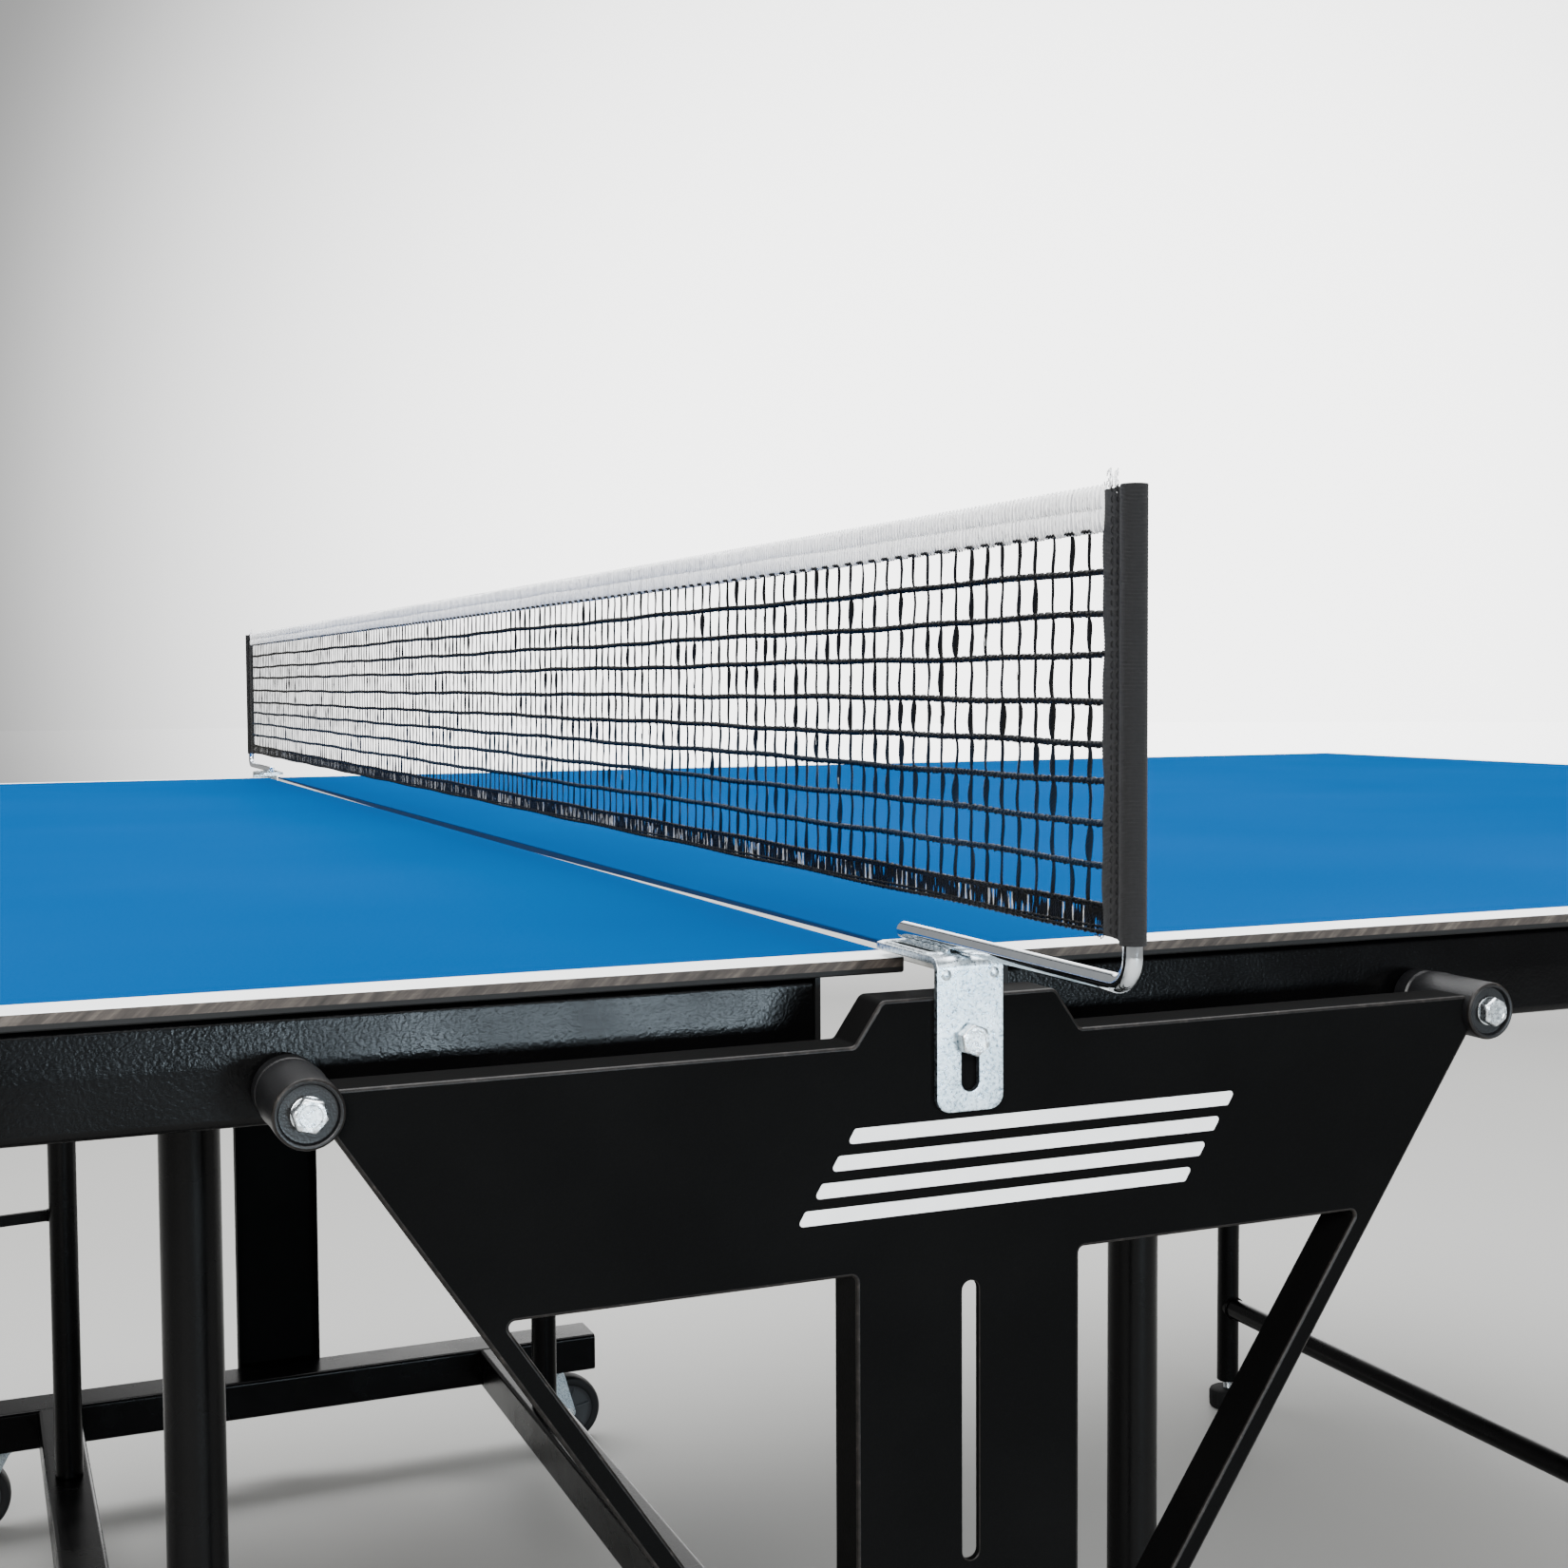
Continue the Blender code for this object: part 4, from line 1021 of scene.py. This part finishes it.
def net_mesh():
    piece = Build("cord", "film")
    reach = HEM_Y + 0.001
    step = 0.00062
    for n, z in enumerate(ROWS):
        phase = RNG.uniform(0, 6.28)

        def z_at(y, z=z, phase=phase):
            return z + 0.00035 * math.sin(y * 21.0 + phase) + 0.0002 * math.sin(y * 73.0 + phase * 2)

        twisted(piece, -reach, reach, z_at, 0.00100, 0.0042 + 0.0003 * (n % 3), step)
    low = NET_LOW + 0.006
    high = TAPE_LOW + 0.0010
    levels = [low] + ROWS + [high]
    for y in strand_places():
        rings = []
        drift = RNG.uniform(-0.0004, 0.0004)
        for cell in range(len(levels) - 1):
            z0 = levels[cell]
            z1 = levels[cell + 1]
            width = RNG.uniform(0.00090, 0.00175)
            bow = RNG.uniform(-0.0009, 0.0009)
            lean = RNG.uniform(-0.4, 0.4)
            twist = RNG.uniform(-0.8, 0.8)
            next_drift = RNG.uniform(-0.0004, 0.0004)
            steps = 5
            for k in range(steps if cell < len(levels) - 2 else steps + 1):
                f = k / steps
                swell = math.sin(math.pi * f) ** 0.7
                half = 0.00062 + (width - 0.00062) * swell
                yy = y + drift * (1 - f) + next_drift * f + bow * math.sin(math.pi * f) + 0.0003 * math.sin(2 * math.pi * f + lean)
                z = z0 + (z1 - z0) * f
                turn = lean + twist * (f - 0.5)
                wide = Vector((math.sin(turn) * 0.8, math.cos(turn), 0.0)).normalized()
                thin = Vector((wide.y, -wide.x, 0.0))
                ring = []
                for a, b in ((1, 0), (0.5, 0.8), (-0.5, 0.8), (-1, 0), (-0.5, -0.8), (0.5, -0.8)):
                    p = wide * (half * a) + thin * (0.00042 * b)
                    ring.append((p.x, yy + p.y, z))
                rings.append(ring)
            drift = next_drift
        piece.loft(rings, 0)
        # Short light-grey film bits on some strands: painted glints.
        if RNG.random() < 0.30:
            cell = RNG.randrange(1, len(levels) - 1)
            z = levels[cell] + 0.005 + RNG.uniform(-0.002, 0.003)
            painted_glint_bit = [(-0.0004, y + 0.0004, z), (-0.0005, y + 0.0001, z + 0.0012), (-0.0004, y + 0.0005, z + 0.0026)]
            piece.tube(painted_glint_bit, 0.00016, 5, 1, 0.0)
        for z in ROWS:
            wrap = [
                (0.0006, y - 0.0009, z - 0.0003), (0.00095, y - 0.0002, z + 0.0002), (0.0006, y + 0.0008, z + 0.0007),
                (-0.0004, y + 0.0010, z + 0.0002), (-0.00095, y, z - 0.0002), (-0.0006, y - 0.0009, z - 0.0006),
            ]
            piece.tube(wrap, 0.00030, 5, 0, 0.0)
    obj = piece.done("net_cords", "net_set", ("net_mesh",), angle=60, recalc=True, shift_x=NET_X)
    return obj


def net_tape():
    """White knitted tape folded over the head of the net."""
    piece = Build("tape", "cord")
    reach = HEM_Y + 0.0005
    step = 0.00065
    count = int(2 * reach / step)
    low = TAPE_LOW
    tall = TAPE_TOP - TAPE_LOW
    levels = [0.0, 0.06, 0.18, 0.32, 0.46, 0.50, 0.54, 0.68, 0.82, 0.94, 1.0]
    half = [0.00045, 0.0010, 0.00125, 0.00125, 0.00115, 0.00080, 0.00115, 0.00125, 0.00120, 0.00095, 0.0004]
    rows = []
    for i in range(count + 1):
        y = -reach + 2 * reach * i / count
        rib = 1.0 + 0.16 * math.sin(y * 2 * math.pi / 0.00260) + 0.05 * math.sin(y * 5211.0)
        top_wave = 0.00040 * math.sin(y * 2 * math.pi / 0.0026) + 0.0002 * math.sin(y * 57.0)
        low_wave = 0.00022 * math.sin(y * 2 * math.pi / 0.0031) + 0.0003 * math.sin(y * 39.0 + 1.0)
        belly = 0.0003 * math.sin(y * 23.0)
        ring = []
        for f, h in zip(levels, half):
            z = low + low_wave * (1 - f) + tall * f + top_wave * f
            ring.append((h * rib + belly * math.sin(math.pi * f), y, z))
        for f, h in reversed(list(zip(levels, half))):
            z = low + low_wave * (1 - f) + tall * f + top_wave * f
            ring.append((-h * rib + belly * math.sin(math.pi * f), y, z))
        rows.append(ring)
    piece.loft(rows, 0)
    obj = piece.done("head_tape", "net_set", ("net_tape",), angle=70, shift_x=NET_X)
    trim = Build("tape", "cord")
    loop_step = 0.0013
    loops = int(2 * reach / loop_step)
    path_top = []
    path_low = []
    per = 6
    for i in range(loops * per):
        y = -reach + i * loop_step / per
        a = 2 * math.pi * i / per
        path_top.append((0.00035 * math.sin(a * 0.5), y + 0.0004 * math.cos(a), TAPE_TOP + 0.0003 + 0.00050 * math.sin(a)))
        path_low.append((0.00050 * math.cos(a * 0.5), y + 0.0003 * math.cos(a), low + 0.00010 - 0.00045 * math.sin(a)))
    trim.tube(path_top, 0.00017, 5, 0, 0.0)
    trim.tube(path_low, 0.00017, 5, 0, 0.0)
    for y in strand_places():
        for face in (-1, 1):
            shift = RNG.uniform(-0.0006, 0.0006)
            for k in range(3):
                y0 = y + shift + (k - 1.6) * 0.0017
                pts = [(face * 0.0010, y0, low - 0.0003), (face * 0.0014, y0 + 0.0006, low + 0.0006), (face * 0.0013, y0 + 0.0013, low + 0.0002)]
                trim.tube(pts, 0.00036, 6, 1, 0.0)
    for sign in (-1, 1):
        for k in range(11):
            y0 = sign * (0.8880 + 0.0011 * (k % 6))
            z0 = NET_TOP - 0.0015
            tall = 0.0035 + 0.0042 * math.exp(-((k - 6) / 3.0) ** 2) + RNG.uniform(-0.0006, 0.0006)
            lean = RNG.uniform(-0.0009, 0.0009)
            pts = []
            for j in range(7):
                f = j / 6
                curl = 0.0007 * math.sin(f * 7.0 + k)
                pts.append((0.0006 * math.cos(k * 2.1) + 0.0005 * math.sin(f * 5 + k), y0 + lean * f + curl, z0 + tall * math.sin(math.pi * min(1.0, f * 0.72))))
            trim.tube(pts, 0.00020, 5, 0, 0.0)
        hair = [(0.0006, sign * 0.8862, NET_TOP - 0.002), (0.0009, sign * 0.8852, NET_TOP + 0.0004), (0.0007, sign * 0.8848, NET_TOP + 0.0028)]
        trim.tube(hair, 0.00013, 5, 1, 0.0)
    trim.done("tape_trim", "net_set", (), angle=70, shift_x=NET_X)
    return obj


def net_band():
    """Knitted foot band: edge cords with a crinkled film weft between them."""
    piece = Build("cord", "film")
    reach = HEM_Y + 0.001
    low = NET_LOW + 0.0010
    high = NET_LOW + 0.0090
    step = 0.0007
    for z, r in ((low, 0.0007), (low + 0.0012, 0.0005), (high - 0.0008, 0.0005), (high, 0.0007)):
        phase = RNG.uniform(0, 6)

        def z_at(y, z=z, phase=phase):
            return z + 0.00025 * math.sin(y * 47.0 + phase)

        twisted(piece, -reach, reach, z_at, r, 0.0036, step)
    y = -reach
    while y < reach:
        # About a fifth of the weft pieces are narrow light-grey film: painted glints on the black band.
        light = RNG.random() < 0.20
        width = RNG.uniform(0.00018, 0.00036) if light else RNG.uniform(0.0006, 0.0011)
        lean = RNG.uniform(-0.9, 0.9)
        skew = RNG.uniform(-0.0009, 0.0009)
        rings = []
        for k in range(6):
            f = k / 5
            z = low - 0.0002 + (high - low + 0.0004) * f
            pinch = 0.35 + 0.65 * math.sin(math.pi * f)
            turn = lean * math.cos(math.pi * f)
            wide = Vector((math.sin(turn), math.cos(turn), 0.0))
            thin = Vector((wide.y, -wide.x, 0.0))
            ring = []
            for a, b in ((1, 0), (0, 1), (-1, 0), (0, -1)):
                p = wide * (width * pinch * a) + thin * (0.00022 * b)
                ring.append((p.x, y + skew * f + p.y, z))
            rings.append(ring)
        piece.loft(rings, 1 if light else 0)
        y += RNG.uniform(0.0008, 0.0015)
    for sign in (-1, 1):
        for k in range(3):
            y0 = sign * (HEM_Y - 0.001 - 0.0015 * k)
            pts = [(0.0004, y0, low), (0.0008, y0 + 0.0008, low - 0.0016), (0.0002, y0 + 0.0011, low - 0.0022 + 0.0004 * k), (-0.0006, y0 + 0.0002, low - 0.0010)]
            piece.tube(pts, 0.00018, 5, 0, 0.0)
    obj = piece.done("foot_band", "net_set", ("net_band",), angle=60, shift_x=NET_X)
    return obj


# ------------------------------------------------------------------ wheeled frame
def upright(side_tag, side, tag, sign):
    x = side * 0.228
    y = sign * 0.545
    piece = Build("tube", "bolt", "plug")
    piece.tube([(x, y, 0.1253), (x, y, 0.3), (x, y, 0.5), (x, y, 0.700)], 0.0125, 40, 0, 0.0006)
    y0 = sign * (0.545 + 0.0105)
    y1 = sign * 0.574
    piece.tube([(x, y0, 0.365), (x, (y0 + y1) / 2, 0.365), (x, y1, 0.365)], 0.004, 28, 1, 0.0)
    hex_head(piece, x, y1 - sign * 0.0001, 0.365, sign, 0.013, 0.0026, 0.2, 1)
    return piece.done(f"post_tube_{side_tag}_{tag}", "chassis", (f"upright_{side_tag}_{tag}",))


def rest_pad(side_tag, side, tag, sign):
    lo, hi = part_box(f"rest_pad_{side_tag}_{tag}")
    x = side * 0.228
    y = sign * 0.545
    piece = Build("rubber")
    z0 = 0.7003
    z1 = hi[2]
    profile = [
        (0.0102, -0.0130), (0.0102, 0.0), (0.0118, 0.0), (0.0125, 0.0008), (0.0125, 0.0040), (0.0121, 0.0045), (0.0121, 0.0055),
        (0.0125, 0.0060), (0.0125, z1 - z0 - 0.0016), (0.0119, z1 - z0 - 0.0003), (0.0108, z1 - z0),
    ]
    piece.lathe(profile, (x, y, z0), "z", 48)
    return piece.done(f"pad_{side_tag}_{tag}", "chassis", (f"rest_pad_{side_tag}_{tag}",))


def base_rails():
    for tag, sign in ENDS:
        lo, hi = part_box("foot_rail_" + tag)
        piece = Build("powder", "plug", "bolt")
        piece.beam(lo, hi, 0.004, 0, 0.0006)
        for s in (-1, 1):
            x = s * 0.340
            ya, yb = lo[1] + 0.0028, hi[1] - 0.0028
            piece.beam((min(x, x - s * 0.003), ya, lo[2] + 0.0028), (max(x, x - s * 0.003) + 0.0, yb, hi[2] - 0.0028), 0.003, 0, 0.0004, 1)
            for dx in (-0.012, 0.012):
                y_face = sign * (abs(hi[1] if sign > 0 else lo[1]) - 0.0005)
                piece.lathe([(0.006, 0.0), (0.006, 0.0008), (0.0045, 0.0024), (0.002, 0.0027)], (s * 0.228 + dx, y_face, 0.105), "y", 28, 2, None, True, -sign * 0.0 + 0.2 * sign)
        piece.done("base_rail_" + tag, "chassis", ("foot_rail_" + tag,))
    for tag, sign in SIDES:
        lo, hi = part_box("cross_rail_" + tag)
        piece = Build("powder")
        piece.beam(lo, hi, 0.004, 1, 0.0006)
        for s in (-1, 1):
            for x in (lo[0] + 0.001, hi[0] - 0.001):
                bead = [(x, s * (hi[1] - 0.0008), z) for z in (0.0885, 0.097, 0.105, 0.113, 0.1215)]
                piece.tube(bead, 0.0010, 8, 0, 0.0)
        piece.done("base_bar_" + tag, "chassis", ("cross_rail_" + tag,))


def caster(side_tag, side, tag, sign):
    x = side * 0.290
    y = sign * 0.7567
    ax = x + side * 0.022
    top = 0.084
    piece = Build("zinc", "bolt")
    piece.lathe([(0.0188, -0.0040), (0.0200, -0.0034), (0.0200, -0.0006), (0.0192, 0.0), (0.0095, 0.0), (0.0090, 0.0008), (0.0062, 0.0009), (0.0060, 0.0125), (0.0052, 0.0130)], (x, y, top), "z", 48)
    for edge in (-1, 1):
        ya = y + edge * 0.013
        yb = y + edge * 0.016
        outline = arc_corners(
            [(x - side * 0.015, top - 0.0012), (x + side * 0.016, top - 0.0012), (ax + side * 0.0095, 0.0295), (ax - side * 0.0095, 0.0295)],
            [0.002, 0.002, 0.007, 0.007],
        )
        if side < 0:
            outline = list(reversed(outline))
        piece.slab(outline, put_xz(1), min(ya, yb), max(ya, yb), 0.0005)
        hex_head(piece, ax, y + edge * 0.0160, 0.0375, edge, 0.010, 0.0032, 0.3, 1)
    piece.beam((x - 0.0145, y - 0.0158, top - 0.0042), (x + 0.0145, y + 0.0158, top - 0.0006), 0.0012, 0, 0.0004)
    piece.tube([(ax, y - 0.0165, 0.0375), (ax, y, 0.0375), (ax, y + 0.0165, 0.0375)], 0.0039, 28, 1)
    piece.done(f"swivel_fork_{side_tag}_{tag}", f"fork_{side_tag}_{tag}", (f"caster_fork_{side_tag}_{tag}",))
    wheel = Build("tyre", "hub")
    h = 0.012
    tread = [
        (0.0041, -0.0118), (0.0085, -0.0118), (0.0100, -0.0110), (0.0102, -0.0078), (0.0225, -0.0070), (0.0262, -0.0088),
        (0.0275, -0.0104), (0.0290, -0.0112), (0.0318, -h), (0.0352, -0.0112), (0.0370, -0.0085), (0.0375, -0.0040),
    ]
    profile = tread + [(r, -z) for r, z in reversed(tread)]
    mats = []
    for i in range(len(profile)):
        mid = profile[i][0]
        mats.append(0 if mid > 0.0270 else 1)
    loops = wheel.lathe(profile, (ax, y, 0.0375), "y", 64, 1, mats, False)
    wheel.bridge(loops[-1], loops[0], 1)
    for k in range(6):
        a = math.pi / 3 * k + 0.2
        ca, sa = math.cos(a), math.sin(a)
        for edge in (-1, 1):
            pts = [(ax + r * ca, y + edge * 0.0074, 0.0375 + r * sa) for r in (0.0095, 0.0150, 0.0200, 0.0255)]
            wheel.tube(pts, 0.0014, 10, 1, 0.0)
    wheel.done(f"roller_{side_tag}_{tag}", f"wheel_{side_tag}_{tag}", (f"caster_wheel_{side_tag}_{tag}",))


# ------------------------------------------------------------------ legs
def leg(side_tag, side):
    x = side * 1.060
    piece = Build("tube", "bolt")
    for tag, sign in ENDS:
        y = sign * 0.545
        piece.tube([(x, y, 0.032), (x, y, 0.25), (x, y, 0.5), (x, y, 0.711)], 0.0125, 40, 0, 0.0008)
        z = 0.7025 + 0.365 - PIVOT_Z
        sx = side * (1.060 + 0.228 - PIVOT_X)
        y0 = sign * 0.5555
        y1 = sign * 0.574
        piece.tube([(sx, y0, z), (sx, (y0 + y1) / 2, z), (sx, y1, z)], 0.004, 28, 1, 0.0)
        hex_head(piece, sx, y1 - sign * 0.0001, z, sign, 0.013, 0.0026, 0.5, 1)
        for k in range(3):
            r = 0.0116 + 0.0004 * k
            piece.lathe([(r, -0.0012), (r + 0.0012, 0.0), (r, 0.0012)], (x, sign * (0.5335 - 0.0006 * k), 0.120), "y", 28, 0, None, False)
    piece.tube([(x, -0.540, 0.120), (x, -0.2, 0.120), (x, 0.2, 0.120), (x, 0.540, 0.120)], 0.0115, 40, 0, 0.0)
    piece.done("leg_tubes_" + side_tag, "leg_" + side_tag, ("leg_frame_" + side_tag,))
    for tag, sign in ENDS:
        y = sign * 0.545
        foot = Build("rubber", "bolt")
        profile = [(0.0165, 0.0), (0.0195, 0.0006), (0.0208, 0.0022), (0.0210, 0.0060), (0.0210, 0.0180), (0.0200, 0.0208), (0.0178, 0.0220), (0.0070, 0.0220)]
        loops = foot.lathe(profile, (x, y, 0.0), "z", 64, 0)
        for k in range(16):
            a = 2 * math.pi * k / 16
            cx = x + 0.0204 * math.cos(a)
            cy = y + 0.0204 * math.sin(a)
            foot.tube([(cx, cy, 0.0065), (cx, cy, 0.012), (cx, cy, 0.0185)], 0.0011, 8, 0, 0.0004)
        thread = []
        for k in range(23):
            thread.append((0.0049 if k % 2 else 0.0043, 0.0220 + 0.0013 * k))
        foot.lathe(thread, (x, y, 0.0), "z", 28, 1)
        foot.done(f"level_foot_{side_tag}_{tag}", f"foot_{side_tag}_{tag}", (f"leg_foot_{side_tag}_{tag}",))


def strut(side_tag, side, tag, sign):
    ax, az = side * 0.228, 0.365
    bx, bz = side * (1.060 + 0.228 - PIVOT_X), 0.7025 + 0.365 - PIVOT_Z
    y0 = sign * 0.5670
    y1 = sign * 0.5730
    along = Vector((bx - ax, bz - az)).normalized()
    normal = Vector((-along.y, along.x))
    a = Vector((ax, az))
    b = Vector((bx, bz))
    outline = []
    base = math.atan2(along.y, along.x)
    for centre, start in ((b, base - math.pi / 2), (a, base + math.pi / 2)):
        reach = 0.0090
        neck = 0.0050
        fan = []
        for k in range(17):
            t = start + math.pi * k / 16
            fan.append((centre.x + reach * math.cos(t), centre.y + reach * math.sin(t)))
        way = -1 if centre == b else 1
        near = centre + along * (way * 0.014)
        first = near + Vector((math.cos(start), math.sin(start))) * neck
        last = near - Vector((math.cos(start), math.sin(start))) * neck
        outline += [(first.x, first.y)] + fan + [(last.x, last.y)]
    hole_a = disc(a.x, a.y, 0.00408, 28)
    hole_b = disc(b.x, b.y, 0.00408, 28)
    piece = Build("tube", "wear_and_painted_highlight")
    put = put_xz(1)
    lo, hi = min(y0, y1), max(y0, y1)
    rim = 0.0005
    caps = [[], []]
    for shape, turn in ((outline, 1.0), (hole_a, -1.0), (hole_b, -1.0)):
        rings = [(rim, lo), (0.0, lo + rim), (0.0, hi - rim), (rim, hi)]
        loops = [piece.ring([put(p, q, level) for p, q in inset(shape, turn * d)]) for d, level in rings]
        for i in range(3):
            piece.bridge(loops[i], loops[i + 1])
        caps[0].append(loops[0])
        caps[1].append(loops[-1])
    for group in caps:
        piece.fill(group)
    piece.done(f"link_bar_{side_tag}_{tag}", f"strut_{side_tag}_{tag}", (f"link_strut_{side_tag}_{tag}",))


def badge(tag, sign):
    """Plain printed stripes where the real plate carries a mark."""
    piece = Build("print")
    y = sign * (PLATE_Y + 0.00004)
    way = -sign
    for k in range(4):
        z0 = 0.6790 + 0.0086 * k
        x0 = -0.064 + 0.0060 * k
        x1 = 0.086 + 0.0060 * k
        if sign > 0:
            x0, x1 = -x1, -x0
        lean = 0.0030 * way * -1
        pts = arc_corners([(x0, z0), (x1, z0), (x1 + abs(lean), z0 + 0.0050), (x0 + abs(lean), z0 + 0.0050)], [0.0012] * 4, 4)
        ring = piece.ring([(a, y, b) for a, b in pts])
        under = piece.ring([(a, sign * (PLATE_Y - 0.0003), b) for a, b in pts])
        piece.bridge(ring, under)
        piece.cap(ring)
    piece.done("print_stripes_" + tag, "chassis", ())


# ------------------------------------------------------------------ assembly
for side_name, side_sign in SIDES:
    board(side_name, side_sign)
    half_frame(side_name, side_sign)
    leg(side_name, side_sign)
    for end_name, end_sign in ENDS:
        upright(side_name, side_sign, end_name, end_sign)
        rest_pad(side_name, side_sign, end_name, end_sign)
        caster(side_name, side_sign, end_name, end_sign)
        strut(side_name, side_sign, end_name, end_sign)
        pivot_bolt(side_name, side_sign, end_name, end_sign)
for end_name, end_sign in ENDS:
    side_plate(end_name, end_sign)
    badge(end_name, end_sign)
    strap(end_name, end_sign)
    strap_bolt(end_name, end_sign)
    net_rod(end_name, end_sign)
    sleeve(end_name, end_sign)
net_mesh()
net_tape()
net_band()
base_rails()
for name, node in NODES.items():
    if name.startswith("rail_plug"):
        node.data.materials.clear()
        node.data.materials.append(M["plug"])
    elif name.startswith("hinge_pin"):
        node.data.materials.clear()
        node.data.materials.append(M["bolt"])

# ------------------------------------------------------------------ stage, light, camera
stage = Build("floor")
edge = stage.ring([(40.0 * math.cos(2 * math.pi * k / 96), 40.0 * math.sin(2 * math.pi * k / 96), -0.0004) for k in range(96)])
stage.bm.faces.new(edge)
floor_mesh = bpy.data.meshes.new("studio_floor")
stage.bm.to_mesh(floor_mesh)
stage.bm.free()
floor_mesh.materials.append(M["floor"])
floor = bpy.data.objects.new("studio_floor", floor_mesh)
bpy.context.scene.collection.objects.link(floor)


def area_light(name, place, target, size, power, colour=(1.0, 1.0, 1.0)):
    data = bpy.data.lights.new(name, "AREA")
    data.shape = "RECTANGLE"
    data.size, data.size_y = size
    data.energy = power
    data.color = colour
    lamp = bpy.data.objects.new(name, data)
    bpy.context.scene.collection.objects.link(lamp)
    lamp.location = place
    way = Vector(target) - Vector(place)
    lamp.rotation_euler = way.to_track_quat("-Z", "Y").to_euler()
    return lamp


area_light("key", (-2.4, -4.2, 2.6), (0.0, -0.6, 0.7), (2.6, 2.2), 330.0, (1.0, 0.99, 0.97))
area_light("overhead", (0.2, 0.4, 4.4), (0.1, 0.1, 0.7), (5.2, 4.0), 620.0, (0.98, 0.99, 1.0))
area_light("front", (-0.2, -4.2, 2.5), (0.1, -0.7, 0.75), (3.2, 0.9), 105.0, (0.97, 0.985, 1.0))
area_light("strip", (1.25, -5.2, 0.74), (-0.1, -0.7, 0.74), (1.40, 0.34), 150.0, (0.72, 0.88, 1.0))

world = bpy.data.worlds.new("studio")
bpy.context.scene.world = world
world.use_nodes = True
sky = world.node_tree
back = sky.nodes["Background"]
where = sky.nodes.new("ShaderNodeTexCoord")
sky.links.new(wall_glow(sky, where.outputs["Generated"]), back.inputs["Strength"])
back.inputs["Color"].default_value = (1.0, 1.0, 0.995, 1.0)

camera_data = bpy.data.cameras.new("photo_camera")
camera_data.sensor_fit = "HORIZONTAL"
camera_data.sensor_width = 36.0
camera_data.lens = 45.82
camera_data.clip_start = 0.02
camera_data.clip_end = 200.0
camera = bpy.data.objects.new("photo_camera", camera_data)
bpy.context.scene.collection.objects.link(camera)
forward = Vector((0.38620887, 0.92100362, -0.05094156))
right = Vector((0.92207221, -0.38697512, -0.00575208))
up = Vector((0.0250108, 0.04475029, 0.99868507))
turn = Matrix((right, up, -forward)).transposed().to_4x4()
camera.matrix_world = Matrix.Translation((-0.316, -1.392, 0.857)) @ turn
bpy.context.scene.camera = camera
